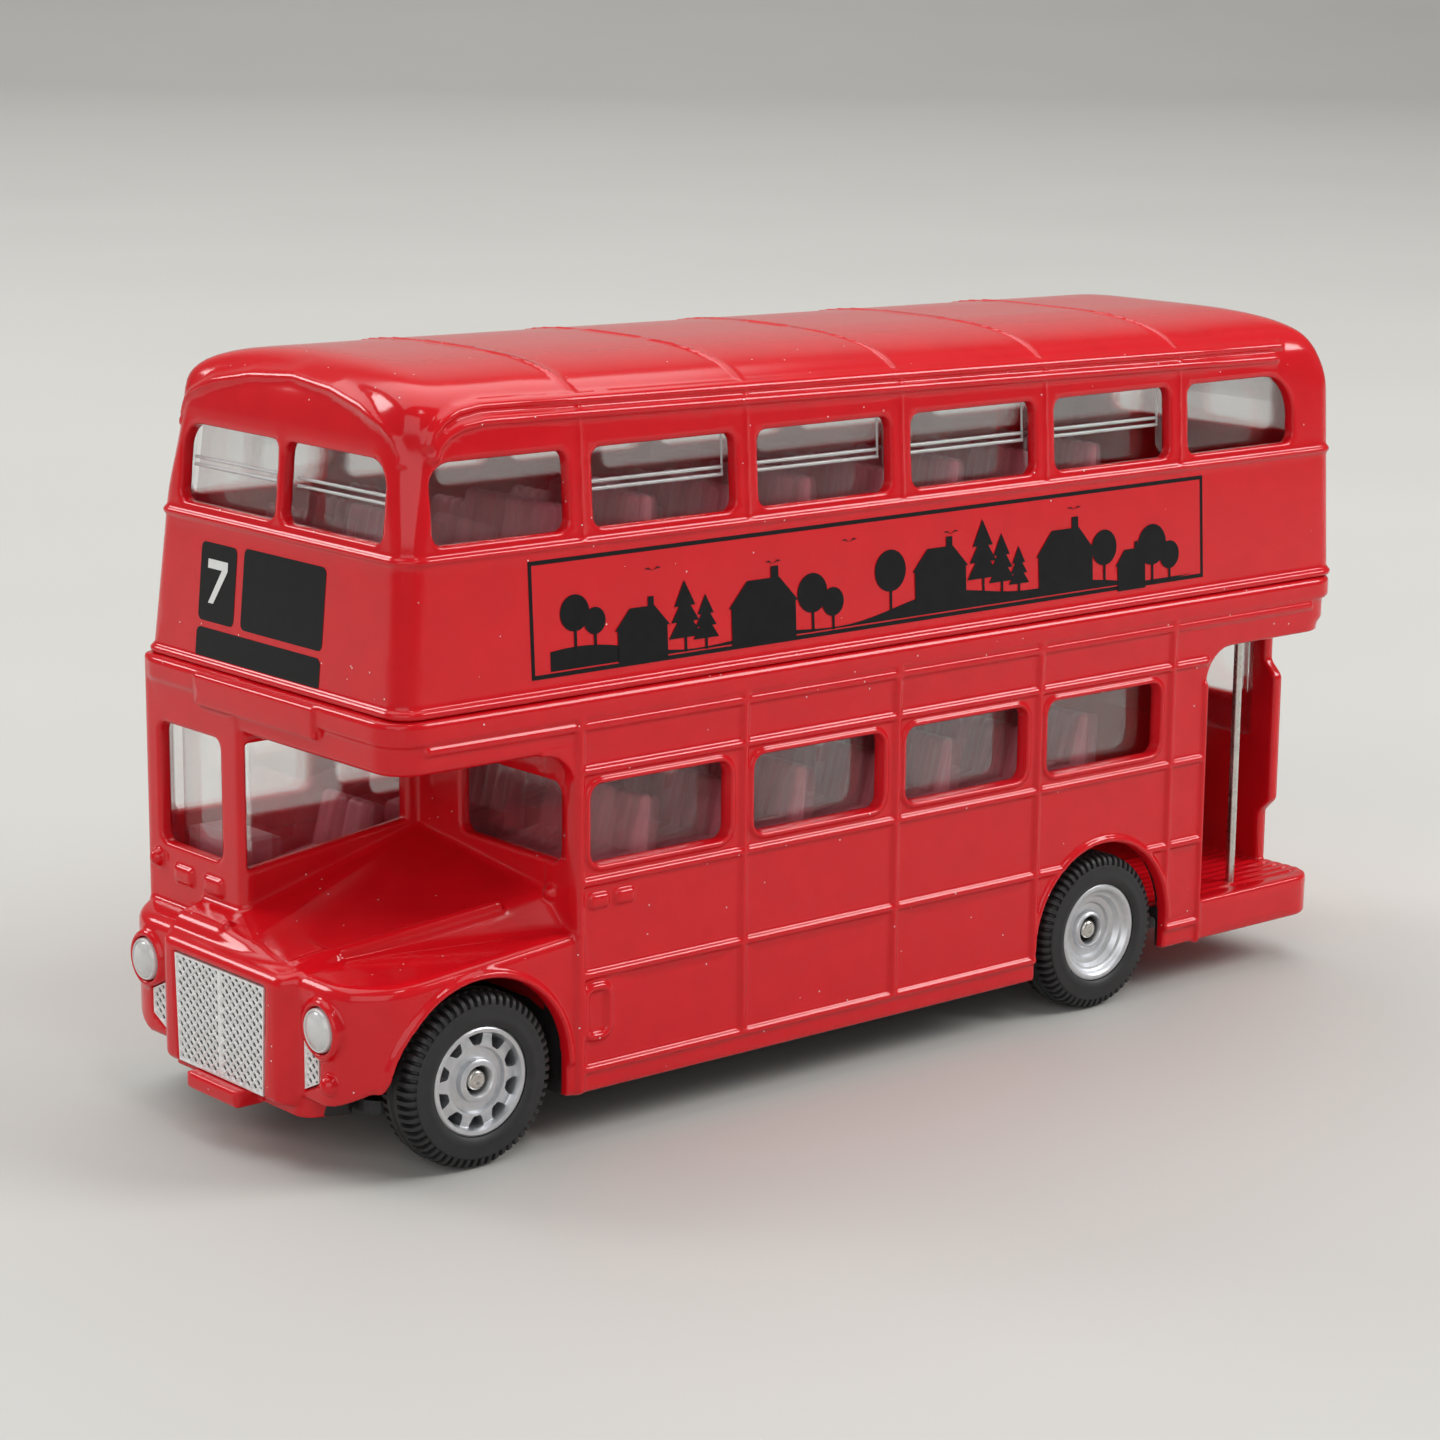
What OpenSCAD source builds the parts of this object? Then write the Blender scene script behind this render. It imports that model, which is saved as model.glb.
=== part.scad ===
// Toy double-deck half-cab bus: two die-cast shells, clear windows, moulded seats, base and four wheels.
// Front towards -X, entrance side towards -Y, origin on the ground under the middle of the bus.

/* [Overall] */
// Length from the number plate to the rear band
total_l = 122; // [116:0.2:128]
// Width over the side beads
body_w = 40; // [38:0.25:43]
// Height of the skirt above the ground
skirt_z = 4.5; // [4:0.1:5.5]
// Height of the lower casting, from skirt to seam
lower_h = 35; // [34:0.25:37]
// Height of the upper casting, from seam to roof crown
upper_h = 28; // [27.4:0.1:29.4]
// Wall of both castings
wall = 1.3; // [1:0.05:1.5]
// Thickness of the clear windows
glaze_t = 0.8; // [0.6:0.05:1]

/* [Wheels] */
// Distance from the rear axle back to the rear band
rear_overhang = 33.15; // [32.2:0.05:34]
// Distance from the number plate back to the front axle
front_overhang = 14.45; // [13.8:0.05:15]
// Outside diameter of a tyre
tyre_d = 15.4; // [14.6:0.1:16.4]
// Width of a tyre
tyre_w = 4.8; // [4:0.1:5]
// Outside diameter of a hub, inside the tyre
rim_d = 9.6; // [8.8:0.1:10.4]
// Diameter of an axle
axle_d = 1.8; // [1.4:0.1:2.2]
// Tyre's outer face, in from the body's side
wheel_inset = 0.35; // [0.3:0.05:0.8]
// Room between a tyre and its wheel arch
arch_gap = 1.7; // [1.2:0.1:2.2]

/* [Bays and windows] */
// Distance from the front axle back to the bulkhead
bulkhead_l = 9.95; // [9.6:0.05:10.6]
// Distance from the last window bay back to the rear band
tail_l = 24.6; // [24:0.1:25.4]
// Width of the pillar between two windows
pillar_w = 2.9; // [2:0.1:3.6]
// Corner radius of the windows
window_r = 1.3; // [0.8:0.1:1.8]
// Lower window sill, above the skirt
lower_sill_h = 20.2; // [19.6:0.1:21]
// Height of the lower windows
lower_window_h = 6.9; // [6:0.1:7.6]
// Upper window sill, above the seam
upper_sill_h = 13.9; // [13.4:0.1:14.8]
// Height of the upper windows
upper_window_h = 6.6; // [6:0.1:7.2]

/* [Rear platform] */
// Last bay line back to the front edge of the platform opening
platform_setback = 5.5; // [4.8:0.1:6.2]
// Height of the platform floor above the ground
platform_z = 8.6; // [8:0.1:9.4]
// Head of the platform opening, below the seam
platform_head = 5.5; // [5:0.1:6]
// Diameter of the grab pole
pole_d = 0.9; // [0.7:0.05:1.2]

/* [Cab and bonnet] */
// Inner side of the cab, from the centre line
cab_side_y = 3.3; // [2.8:0.1:4]
// Underside of the canopy, below the seam
canopy_drop = 4.7; // [4.3:0.1:5]
// Bonnet height above the ground at the bulkhead
bonnet_rear_z = 24; // [23.2:0.1:24.4]
// Bonnet height above the ground at the grille
bonnet_front_z = 17.8; // [17:0.1:18.6]
// Height of the front wings above the ground at the bulkhead
wing_rear_z = 19; // [18.6:0.1:20]
// Diameter of a headlamp
lamp_d = 3.8; // [3.2:0.1:4.2]

/* [Hidden] */

$fn = 48;
// Straight steps in a round corner, and in the roof's cross-section
arc_steps = 6;
roof_steps = 24;

// Clearances
running_gap = 0.05;
press_gap = 0.01;
fit_gap = 0.12;
side_gap = 0.4;
// How far a cut runs past a face
overrun = 1;

// Places along the bus
nose_x = -total_l / 2;
tail_x = total_l / 2;
front_axle_x = nose_x + front_overhang;
rear_axle_x = tail_x - rear_overhang;
bulkhead_x = front_axle_x + bulkhead_l;
bays = 4;
bay_pitch = (tail_x - tail_l - bulkhead_x) / bays;
function bay_x(k) = bulkhead_x + k * bay_pitch;
platform_x = bay_x(bays) + platform_setback;

// Heights
seam_z = skirt_z + lower_h;
roof_z = seam_z + upper_h;
axle_z = tyre_d / 2;
lower_sill_z = skirt_z + lower_sill_h;
lower_head_z = lower_sill_z + lower_window_h;
upper_sill_z = seam_z + upper_sill_h;
upper_head_z = upper_sill_z + upper_window_h;
canopy_z = seam_z - canopy_drop;
platform_head_z = seam_z - platform_head;

// Raised beads and frames
bead_h = 0.3;
bead_w = 0.6;
bead_sink = wall / 2;
panel_y = body_w / 2 - bead_h;

// Upper casting
upper_setback = 6.4;
upper_tail_inset = 0.2;
upper_window_shift = 1.3;
upper_inset = 0.4;
tumble = 1.4;
front_lean = 2;
front_dome_r = 8;
rear_dome_r = 10;
roof_rise = 5.5;
roof_fall = 1.2;
upper_front_r = 2.1;
upper_rear_r = 2.4;
rib_h = 0.12;
upper_front_x = nose_x + upper_setback;
upper_rear_x = tail_x - upper_tail_inset;
upper_y = body_w / 2 - upper_inset;
cant_z = roof_z - roof_rise;
front_window_inset = 4.2;
front_window_side = 4.8;
front_window_y = body_w / 2 - front_window_side;
front_pillar_w = 2.5;
rear_window_side = 9;
rear_window_y = body_w / 2 - rear_window_side;
rear_window_gap = 6.5;
rear_window_r = 4;
gutter_drop = 4.3;
gutter_front_gap = 8;
gutter_rear_gap = 6;
sill_bead_gap = 0.8;
lip_h = 0.9;
window_cut_depth = 7;
deck_boss_d = 3.6;
deck_boss_h = 6;
deck_boss_gap = 6;
deck_boss_y = -6;
deck_web_t = 1.6;
deck_screw_x = [upper_front_x + deck_boss_gap, upper_rear_x - deck_boss_gap];
gutter_z = roof_z - gutter_drop;
lean_angle = atan(front_lean / (roof_z - front_dome_r - seam_z));
tumble_angle = atan(tumble / (cant_z - seam_z));
fall_angle = atan(roof_fall / (upper_rear_x - upper_front_x));
function upper_bay_x(k) = bay_x(k) + upper_window_shift;

// Clear windows
glaze_d = wall + fit_gap;
upper_glaze_z = seam_z + deck_boss_h + lip_h;
vent_h = upper_window_h / 2;
pane_y = panel_y - wall - fit_gap;
pane_z0 = lower_sill_z - pillar_w;
pane_z1 = canopy_z - fit_gap;

// Deck plates inside the lower casting, which carry the upper deck
deck_plate_t = 1.2;
deck_drop = 1.9;
deck_z = seam_z - deck_drop;
deck_floor_t = 1.2;

// Lower casting
band_h = 2.2;
band_r = 3.2;
rear_inset = 1;
rear_r = 3.4;
rear_x = tail_x - rear_inset;
head_corner_r = 3.5;
arch_r = tyre_d / 2 + arch_gap;
arch_lip_w = 0.8;
slab_t = 1.3;
ledge_l = 5;
rear_wall_edge_in = 7.4;
rear_wall_edge_y = panel_y - rear_wall_edge_in;
rear_hump_in = 6;
rear_hump_y = panel_y - rear_hump_in;
rear_hump_z = 14.5;
rear_hump_h = 14.5;
rear_window_inner_y = 3;
rear_window_edge = 3;
rear_window_outer_y = rear_wall_edge_y - rear_window_edge;
rear_window_sill = 1;
bead_rows_h = [1.8, 10.2, 18.4];
fascia_bead_drop = 3;
lower_head_bead_gap = 1;

// Cab
cab_r = 1.2;
windscreen_in = 3.4;
windscreen_out = 3.1;
cab_sill_drop = 1.9;
cab_sill_z = lower_sill_z - cab_sill_drop;
cab_head_gap = 1.1;
cab_window_in = 1.5;
cab_glass_sill = 0.8;
cab_setback = 5.8;
cab_front_x = nose_x + cab_setback;
band_front_x = cab_front_x - bead_h;

// Bonnet, wings and grille housing
housing_side = 10;
housing_y = body_w / 2 - housing_side;
housing_z = 5.5;
housing_r = 1.6;
plate_t = 1;
plate_y = 4;
plate_h = 1.9;
plate_z = 4.2;
wing_t = 1.4;
wing_front_z = 17;
wing_tip_z = 6.3;
wing_tip_in = 6.5;
wing_tip_y = panel_y - wing_tip_in;
wing_corner_z = 9.6;
wing_heel_z = 9.3;
wing_r = 6.2;
wing_edge_drop = 3;
bonnet_foot_in = 2.3;
bonnet_foot_y = panel_y - bonnet_foot_in;
bonnet_ridge_in = 3.4;
bonnet_ridge_y = bonnet_foot_y - bonnet_ridge_in;
bonnet_ridge_drop = 2.7;
bonnet_shoulder_w = 6;
bonnet_shoulder_y = bonnet_ridge_y - bonnet_shoulder_w;
bonnet_shoulder_drop = 1;
bonnet_front_in = 1;
bonnet_front_y = housing_y - bonnet_front_in;
bonnet_nose_drop = 1.3;
bonnet_nose_l = 1.5;
housing_front_x = nose_x + plate_t;
wing_front_x = housing_front_x + wing_t;

// Grilles and lamps
grille_frame_w = 3;
grille_y = housing_y - grille_frame_w;
grille_taper = 0.4;
grille_foot_y = grille_y - grille_taper;
grille_h = 9.6;
grille_sill = 0.4;
grille_z = housing_z + grille_sill;
grille_t = 1;
grille_bar_w = 0.5;
grille_bar_h = 0.25;
wing_grille_side = 7;
wing_grille_out_y = body_w / 2 - wing_grille_side;
wing_grille_w = 2.1;
wing_grille_in_y = wing_grille_out_y - wing_grille_w;
wing_grille_z = 7.4;
wing_grille_h = 4.2;
wing_grille_t = 0.7;
wing_grille_cut = 1;
lamp_side = 6.4;
lamp_y = body_w / 2 - lamp_side;
lamp_z = 13.2;
lamp_bezel_w = 0.7;
lamp_bezel_h = 0.5;
lamp_dome_h = 0.45;
lamp_stem_d = 2;
lamp_stem_l = 1.8;
lamp_t = 0.7;

// Base plate, axle bearings and wheels
base_inset = 0.2;
base_t = 1.2;
base_z = skirt_z + base_inset;
base_top = base_z + base_t;
base_front_gap = 3.4;
base_rear_gap = 1.2;
base_corner_r = 2;
bearing_w = 3;
bearing_l = 5.2;
bearing_cap = 1.4;
wheel_y = body_w / 2 - wheel_inset;
wheel_in_y = wheel_y - tyre_w;
base_y = wheel_in_y - 2 * side_gap;
wheel_gap_y = -wheel_in_y + 2 * side_gap;
hub_boss_d = 3.8;
hub_boss_out = 0.5;
hub_wall = 0.7;
hub_web_t = 1;
hub_dish = 1.3;
hub_side = 0.3;
hub_slots = 10;
hub_slot_w = 0.8;
hub_slot_l = 1.3;
hub_ring_r = 2.9;
hub_ring_w = 0.4;
tyre_shoulder = 0.9;
tyre_groove_w = 0.5;
tyre_groove_d = 0.35;
axle_proud = 0.35;

// Screws
screw_d = 1.6;
screw_head_d = 3;
screw_head_h = 0.9;
screw_grip = 4;
screw_gap = 0.2;
base_boss_d = 4;
base_boss_rear_gap = 2.4;
base_front_x = wing_front_x + wall + base_front_gap;
base_rear_x = platform_x + base_rear_gap;
base_screw_x = [base_front_x + base_boss_d / 2 + screw_gap, platform_x - base_boss_rear_gap];
screw_recess = screw_head_h + screw_gap;
pad_top = base_top + screw_recess;
screw_top = pad_top + screw_grip;
boss_top_z = [bonnet_front_z, screw_top + wall];

// Seats
aisle_w = 4.4;
seat_side = 4.4;
seat_out_y = body_w / 2 - seat_side;
seat_back_t = 1.5;
seat_lean = 1;
seat_cushion_l = 4.6;
seat_cushion_h = 0.5;
upper_seat_h = 17.5;
lower_seat_h = 12;
upper_cushion_drop = 7;
lower_cushion_drop = 5;
lower_floor_gap = 1.4;
lower_floor_t = 1.2;
leg_t = 1.5;
leg_gap = 6;
driver_gap = 5.3;
driver_y = cab_side_y + driver_gap;
driver_x_gap = 5;
dash_l = 3;
dash_h = 6;
lower_floor_z = tyre_d + lower_floor_gap;

// Pole
pole_in_x = 9.6;
pole_in_y = 3.7;
pole_seat = 0.8;
pole_x = rear_x - pole_in_x;
pole_y = pole_in_y - panel_y;

// Arc of a circle, as points
function arc(cx, cy, r, a0, a1) = [
    for (i = [0:arc_steps])
        let (a = a0 + (a1 - a0) * i / arc_steps)
        [cx + r * cos(a), cy + r * sin(a)]
];

// Rectangle with round corners, as points; each corner may have a radius of its own
function round_box(x0, y0, x1, y1, r0, r1, r2, r3) = concat(
    arc(x1 - r0, y1 - r0, r0, 0, 90),
    arc(x0 + r1, y1 - r1, r1, 90, 180),
    arc(x0 + r2, y0 + r2, r2, 180, 270),
    arc(x1 - r3, y0 + r3, r3, 270, 360)
);
function round_rect(x0, y0, x1, y1, r) = round_box(x0, y0, x1, y1, r, r, r, r);

// A y-z outline drawn out along X, an x-z outline along Y, an x-y outline along Z
module along_x(x0, x1) {
    translate([x0, 0, 0]) rotate([90, 0, 90]) linear_extrude(height = x1 - x0) children();
}
module along_y(y0, y1) {
    translate([0, y1, 0]) rotate([90, 0, 0]) linear_extrude(height = y1 - y0) children();
}
module along_z(z0, z1) {
    translate([0, 0, z0]) linear_extrude(height = z1 - z0) children();
}
// A box between two corners
module block(low, high) {
    translate(low) cube(high - low);
}
// A rod along Y
module rod_y(x, z, d, y0, y1) {
    translate([x, y0, z]) rotate([-90, 0, 0]) cylinder(h = y1 - y0, d = d);
}
// A rod along Z
module rod_z(x, y, d, z0, z1) {
    translate([x, y, z0]) cylinder(h = z1 - z0, d = d);
}
// A copy on each side of the bus
module both_sides() {
    children();
    mirror([0, 1, 0]) children();
}

// Upper casting, inset by d from its outside, down to z0
function upper_side(d, z0) = concat(
    [[upper_front_x + d, z0]],
    arc(upper_front_x + front_lean + front_dome_r, roof_z - front_dome_r, front_dome_r - d, 180, 90),
    arc(upper_rear_x - rear_dome_r, roof_z - roof_fall - rear_dome_r, rear_dome_r - d, 90, 0),
    [[upper_rear_x - d, z0]]
);
function roof_curve(d) = [
    for (i = [0:roof_steps])
        let (a = 180 * i / roof_steps, c = cos(a), s = sin(a))
        [
            (upper_y - tumble - d) * c,
            cant_z + (roof_rise - d) * s
        ]
];
function upper_section(d, z0) = concat(
    [[upper_y - d, z0], [upper_y - d, seam_z]],
    roof_curve(d),
    [[d - upper_y, seam_z], [d - upper_y, z0]]
);
// Upright corner at x, leaning with the two walls that meet there; way is 1 at the front, -1 at the rear
module upper_corner(x, r, way, d) {
    translate([x, -upper_y, seam_z])
        mirror([way < 0 ? 1 : 0, 0, 0]) rotate([-tumble_angle, way > 0 ? lean_angle : 0, 0])
            along_z(-upper_h, 2 * upper_h)
                polygon(round_box(d, d, 2 * total_l, 2 * body_w, r, r, max(r - d, bead_h), r));
}
module upper_block(d, z0) {
    intersection() {
        along_y(-body_w, body_w) polygon(upper_side(d, z0));
        translate([upper_front_x, 0, seam_z]) rotate([0, fall_angle, 0])
            translate([0, 0, -seam_z])
                along_x(-total_l, 2 * total_l) polygon(upper_section(d, z0 - upper_h));
        upper_corner(upper_front_x, upper_front_r, 1, d);
        mirror([0, 1, 0]) upper_corner(upper_front_x, upper_front_r, 1, d);
        upper_corner(upper_rear_x, upper_rear_r, -1, d);
        mirror([0, 1, 0]) upper_corner(upper_rear_x, upper_rear_r, -1, d);
    }
}

// Outlines of the window openings
module lower_window(k) {
    polygon(round_rect(bay_x(k) + pillar_w / 2, lower_sill_z, bay_x(k + 1) - pillar_w / 2, lower_head_z,
        window_r));
}
module upper_window(k) {
    polygon(round_rect(upper_bay_x(k) + pillar_w / 2, upper_sill_z,
        upper_bay_x(k + 1) - pillar_w / 2, upper_head_z, window_r));
}
module upper_first_window() {
    polygon(round_rect(upper_front_x + front_window_inset, upper_sill_z,
        upper_bay_x(0) - pillar_w / 2, upper_head_z, window_r));
}
module upper_last_window() {
    polygon(round_box(upper_bay_x(bays) + pillar_w / 2, upper_sill_z,
        upper_rear_x - rear_window_gap, upper_head_z, rear_window_r, window_r, window_r, window_r));
}
module upper_front_window() {
    polygon(round_rect(front_pillar_w / 2, upper_sill_z, front_window_y, upper_head_z, window_r));
}
module upper_rear_window() {
    polygon(round_rect(-rear_window_y, upper_sill_z, rear_window_y, upper_head_z, window_r));
}

// Beads that stand out of the upper casting
module upper_skin(proud) {
    difference() {
        upper_block(-proud, seam_z);
        upper_block(bead_sink, seam_z - overrun);
    }
}
module upper_beads() {
    intersection() {
        upper_skin(bead_h);
        union() {
            block([nose_x, -body_w, seam_z], [tail_x, body_w, seam_z + lip_h]);
            block([nose_x, -body_w, upper_sill_z - sill_bead_gap - bead_w],
                [tail_x, body_w, upper_sill_z - sill_bead_gap]);
            block([upper_front_x + gutter_front_gap, -body_w, gutter_z - bead_w],
                [upper_rear_x - gutter_rear_gap, body_w, gutter_z]);
        }
    }
    intersection() {
        upper_skin(rib_h);
        for (k = [0:bays])
            block([upper_bay_x(k) - bead_w / 2, -body_w, upper_sill_z - sill_bead_gap - bead_w / 2],
                [upper_bay_x(k) + bead_w / 2, body_w, roof_z + overrun]);
    }
}
// Pillar inside the upper casting that a deck screw goes into
module deck_boss(x, wall_x) {
    rod_z(x, deck_boss_y, deck_boss_d, deck_z, seam_z + deck_boss_h);
    block([min(x, wall_x), deck_boss_y - deck_web_t / 2, seam_z + lip_h],
        [max(x, wall_x), deck_boss_y + deck_web_t / 2, seam_z + deck_boss_h]);
}
module upper_body() {
    color([0.74, 0.05, 0.08]) difference() {
        union() {
            difference() {
                upper_block(0, seam_z);
                upper_block(wall, seam_z - overrun);
            }
            upper_beads();
            deck_boss(deck_screw_x[0], upper_front_x + bead_sink);
            deck_boss(deck_screw_x[1], upper_rear_x - bead_sink);
        }
        along_y(-body_w, body_w) {
            for (k = [0:bays - 1]) upper_window(k);
            upper_first_window();
            upper_last_window();
        }
        along_x(nose_x, upper_front_x + window_cut_depth) {
            upper_front_window();
            mirror([1, 0]) upper_front_window();
        }
        along_x(upper_rear_x - window_cut_depth, tail_x + overrun) upper_rear_window();
        for (x = deck_screw_x)
            rod_z(x, deck_boss_y, screw_d + 2 * press_gap, deck_z - overrun, deck_z + screw_grip + screw_gap);
    }
}

// Clear tub that hangs inside the upper casting
module vent_bars(z0, z1) {
    for (k = [0:bays - 1])
        block([upper_bay_x(k) + pillar_w / 2 + fit_gap, -body_w, z0],
            [upper_bay_x(k + 1) - pillar_w / 2 - fit_gap, body_w, z1]);
}
module upper_glazing() {
    color([0.85, 0.88, 0.9, 0.4]) {
        difference() {
            upper_block(glaze_d, upper_glaze_z);
            upper_block(glaze_d + glaze_t, upper_glaze_z - overrun);
        }
        intersection() {
            difference() {
                upper_block(glaze_d - bead_h, upper_glaze_z);
                upper_block(glaze_d + bead_h, upper_glaze_z - overrun);
            }
            vent_bars(upper_sill_z + vent_h - bead_w / 2, upper_sill_z + vent_h + bead_w / 2);
        }
    }
}

// Plan of the saloon, inset by d
module saloon_plan(d) {
    polygon(round_box(bulkhead_x + d, d - panel_y, rear_x - d, panel_y - d,
        rear_r - d, bead_h, bead_h, rear_r - d));
}
// Plan of the band under the seam, inset by d
module band_plan(d) {
    polygon(round_rect(band_front_x + d, d - body_w / 2, tail_x - d, body_w / 2 - d, band_r - d));
}
// Plan of the fascia, flush with the side panels
module fascia_plan(d) {
    polygon(round_box(cab_front_x + d, d - panel_y, rear_x - d, panel_y - d,
        rear_r - d, band_r - d, band_r - d, rear_r - d));
}
// Plan of the cab, inset by d
module cab_plan(d) {
    polygon(round_box(cab_front_x + d, cab_side_y + d, bulkhead_x + wall + d, panel_y - d,
        bead_h, max(cab_r - d, bead_h), bead_h, bead_h));
}

// Bonnet, inset by d, down to z0
function bonnet_section(d, z0) = [
    [d - bonnet_foot_y, z0],
    [d - bonnet_foot_y, wing_rear_z - d],
    [d - bonnet_ridge_y, bonnet_rear_z - bonnet_ridge_drop - d],
    [d - bonnet_shoulder_y, bonnet_rear_z - bonnet_shoulder_drop - d],
    [0, bonnet_rear_z - d],
    [housing_y - d, bonnet_rear_z - d],
    [housing_y - d, z0]
];
function bonnet_side(d, z0) = [
    [wing_front_x + d, z0],
    [wing_front_x + d, bonnet_front_z - bonnet_nose_drop - d],
    [wing_front_x + bonnet_nose_l + d, bonnet_front_z - d],
    [bulkhead_x + bead_sink, bonnet_rear_z - d],
    [bulkhead_x + bead_sink, z0]
];
function bonnet_plan(d) = [
    [wing_front_x + d, d - bonnet_front_y],
    [bulkhead_x + bead_sink, d - bonnet_foot_y],
    [bulkhead_x + bead_sink, cab_side_y + bead_sink],
    [cab_front_x + bead_sink, cab_side_y + bead_sink],
    [cab_front_x + bead_sink, housing_y - d],
    [wing_front_x + d, housing_y - d]
];
module bonnet_block(d, z0) {
    intersection() {
        along_x(nose_x, tail_x) polygon(bonnet_section(d, z0));
        along_y(-body_w, body_w) polygon(bonnet_side(d, z0));
        along_z(z0, seam_z) polygon(bonnet_plan(d));
    }
}
// One front wing on the entrance side, inset by d
function wing_side(d, z0, z1, heel) = [
    [wing_front_x + d, z0],
    [wing_front_x + d, wing_front_z - wing_edge_drop - d],
    [wing_front_x + wing_edge_drop + d, wing_front_z - d],
    [bulkhead_x + bead_sink, wing_rear_z - d],
    [bulkhead_x + bead_sink, z1],
    [front_axle_x, z1],
    [front_axle_x - arch_r, z1 + heel]
];
module wing_block(d, z0, z1, heel) {
    intersection() {
        along_y(d - panel_y, 0) polygon(wing_side(d, z0, z1, heel));
        along_z(0, seam_z)
            polygon(round_box(wing_front_x + d, d - panel_y, bulkhead_x + wall, 0,
                bead_h, bead_h, wing_r - d, bead_h));
    }
}
// Rounds the lower outer corner of a wing, seen from the front
module wing_corner_cut() {
    along_x(nose_x, front_axle_x)
        polygon([
            [-wing_tip_y, 0],
            [-wing_tip_y, wing_tip_z],
            [-panel_y, wing_corner_z],
            [-body_w, wing_corner_z],
            [-body_w, 0]
        ]);
}
module housing_block(d, z0) {
    along_z(z0, bonnet_front_z - bonnet_nose_drop - d)
        polygon(round_box(housing_front_x + d, d - housing_y, cab_front_x + wall, housing_y - d,
            bead_h, housing_r - d / 2, housing_r - d / 2, bead_h));
}
module nose_block(d, z0, tip) {
    bonnet_block(d, z0);
    both_sides() difference() {
        wing_block(d, tip, z0, d > 0 ? 0 : wing_heel_z - skirt_z);
        if (d == 0) wing_corner_cut();
    }
    housing_block(d, d > 0 ? z0 : housing_z);
}

// Beads on the side panels
module side_beads() {
    along_y(-body_w / 2, bead_sink - panel_y) {
        for (h = bead_rows_h)
            translate([bulkhead_x, skirt_z + h]) square([platform_x - bulkhead_x, bead_w]);
        translate([bulkhead_x, lower_head_z + lower_head_bead_gap])
            square([platform_x - bulkhead_x, bead_w]);
        translate([cab_front_x + band_r, seam_z - fascia_bead_drop])
            square([rear_x - rear_r - cab_front_x - band_r, bead_w]);
        for (k = [0:bays])
            translate([bay_x(k), skirt_z + bead_rows_h[0]])
                square([bead_w, seam_z - skirt_z - bead_rows_h[0] - band_h]);
        translate([platform_x - bead_w, skirt_z])
            square([bead_w, platform_head_z - skirt_z]);
        for (x = [front_axle_x, rear_axle_x])
            intersection() {
                translate([x, axle_z]) circle(arch_r + arch_lip_w);
                translate([x - body_w, skirt_z]) square([2 * body_w, lower_h]);
            }
        for (k = [0:bays - 1])
            polygon(round_rect(bay_x(k) + pillar_w / 2 - bead_w, lower_sill_z - bead_w,
                bay_x(k + 1) - pillar_w / 2 + bead_w, lower_head_z + bead_w, window_r + bead_w));
    }
}
// Round corner between an upright edge and a head
module corner_gusset(x, z, r, way) {
    difference() {
        translate([min(x, x + way * r), z - r]) square([r, r + bead_sink]);
        translate([x + way * r, z - r]) circle(r);
    }
}
// Opening of the rear platform, on the side and round the rear corner
module platform_opening() {
    block([platform_x, -body_w, platform_z], [rear_x - wall, wall + overrun - panel_y, platform_head_z]);
    difference() {
        along_x(rear_x - rear_r, rear_x + overrun)
            translate([-body_w, platform_z])
                square([body_w - rear_wall_edge_y, platform_head_z - platform_z]);
        along_x(rear_x - rear_r - overrun, rear_x + 2 * overrun)
            translate([-rear_hump_y, rear_hump_z]) square([body_w, rear_hump_h]);
    }
}
module lower_windows() {
    along_y(-body_w, body_w) for (k = [0:bays - 1]) lower_window(k);
    along_x(cab_front_x - overrun, cab_front_x + wall + overrun)
        polygon(round_rect(cab_side_y + windscreen_in, cab_sill_z,
            panel_y - windscreen_out, canopy_z - cab_head_gap, window_r));
    along_y(cab_side_y - overrun, cab_side_y + wall + overrun)
        polygon([
            [cab_front_x + cab_window_in, cab_sill_z],
            [bulkhead_x - cab_window_in, bonnet_rear_z + cab_glass_sill],
            [bulkhead_x - cab_window_in, canopy_z - cab_head_gap],
            [cab_front_x + cab_window_in, canopy_z - cab_head_gap]
        ]);
    along_y(panel_y - wall - overrun, body_w)
        polygon(round_rect(cab_front_x + cab_r + cab_window_in, lower_sill_z,
            bulkhead_x - cab_window_in, canopy_z - cab_head_gap, window_r));
    along_x(bulkhead_x - overrun, bulkhead_x + wall + overrun)
        polygon(round_rect(-bonnet_foot_y, lower_sill_z, -pillar_w, lower_head_z, window_r));
    along_x(rear_x - wall - overrun, rear_x + overrun)
        polygon(round_rect(-rear_window_outer_y, lower_sill_z + rear_window_sill, rear_window_inner_y,
            lower_head_z + rear_window_sill, window_r));
}
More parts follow.
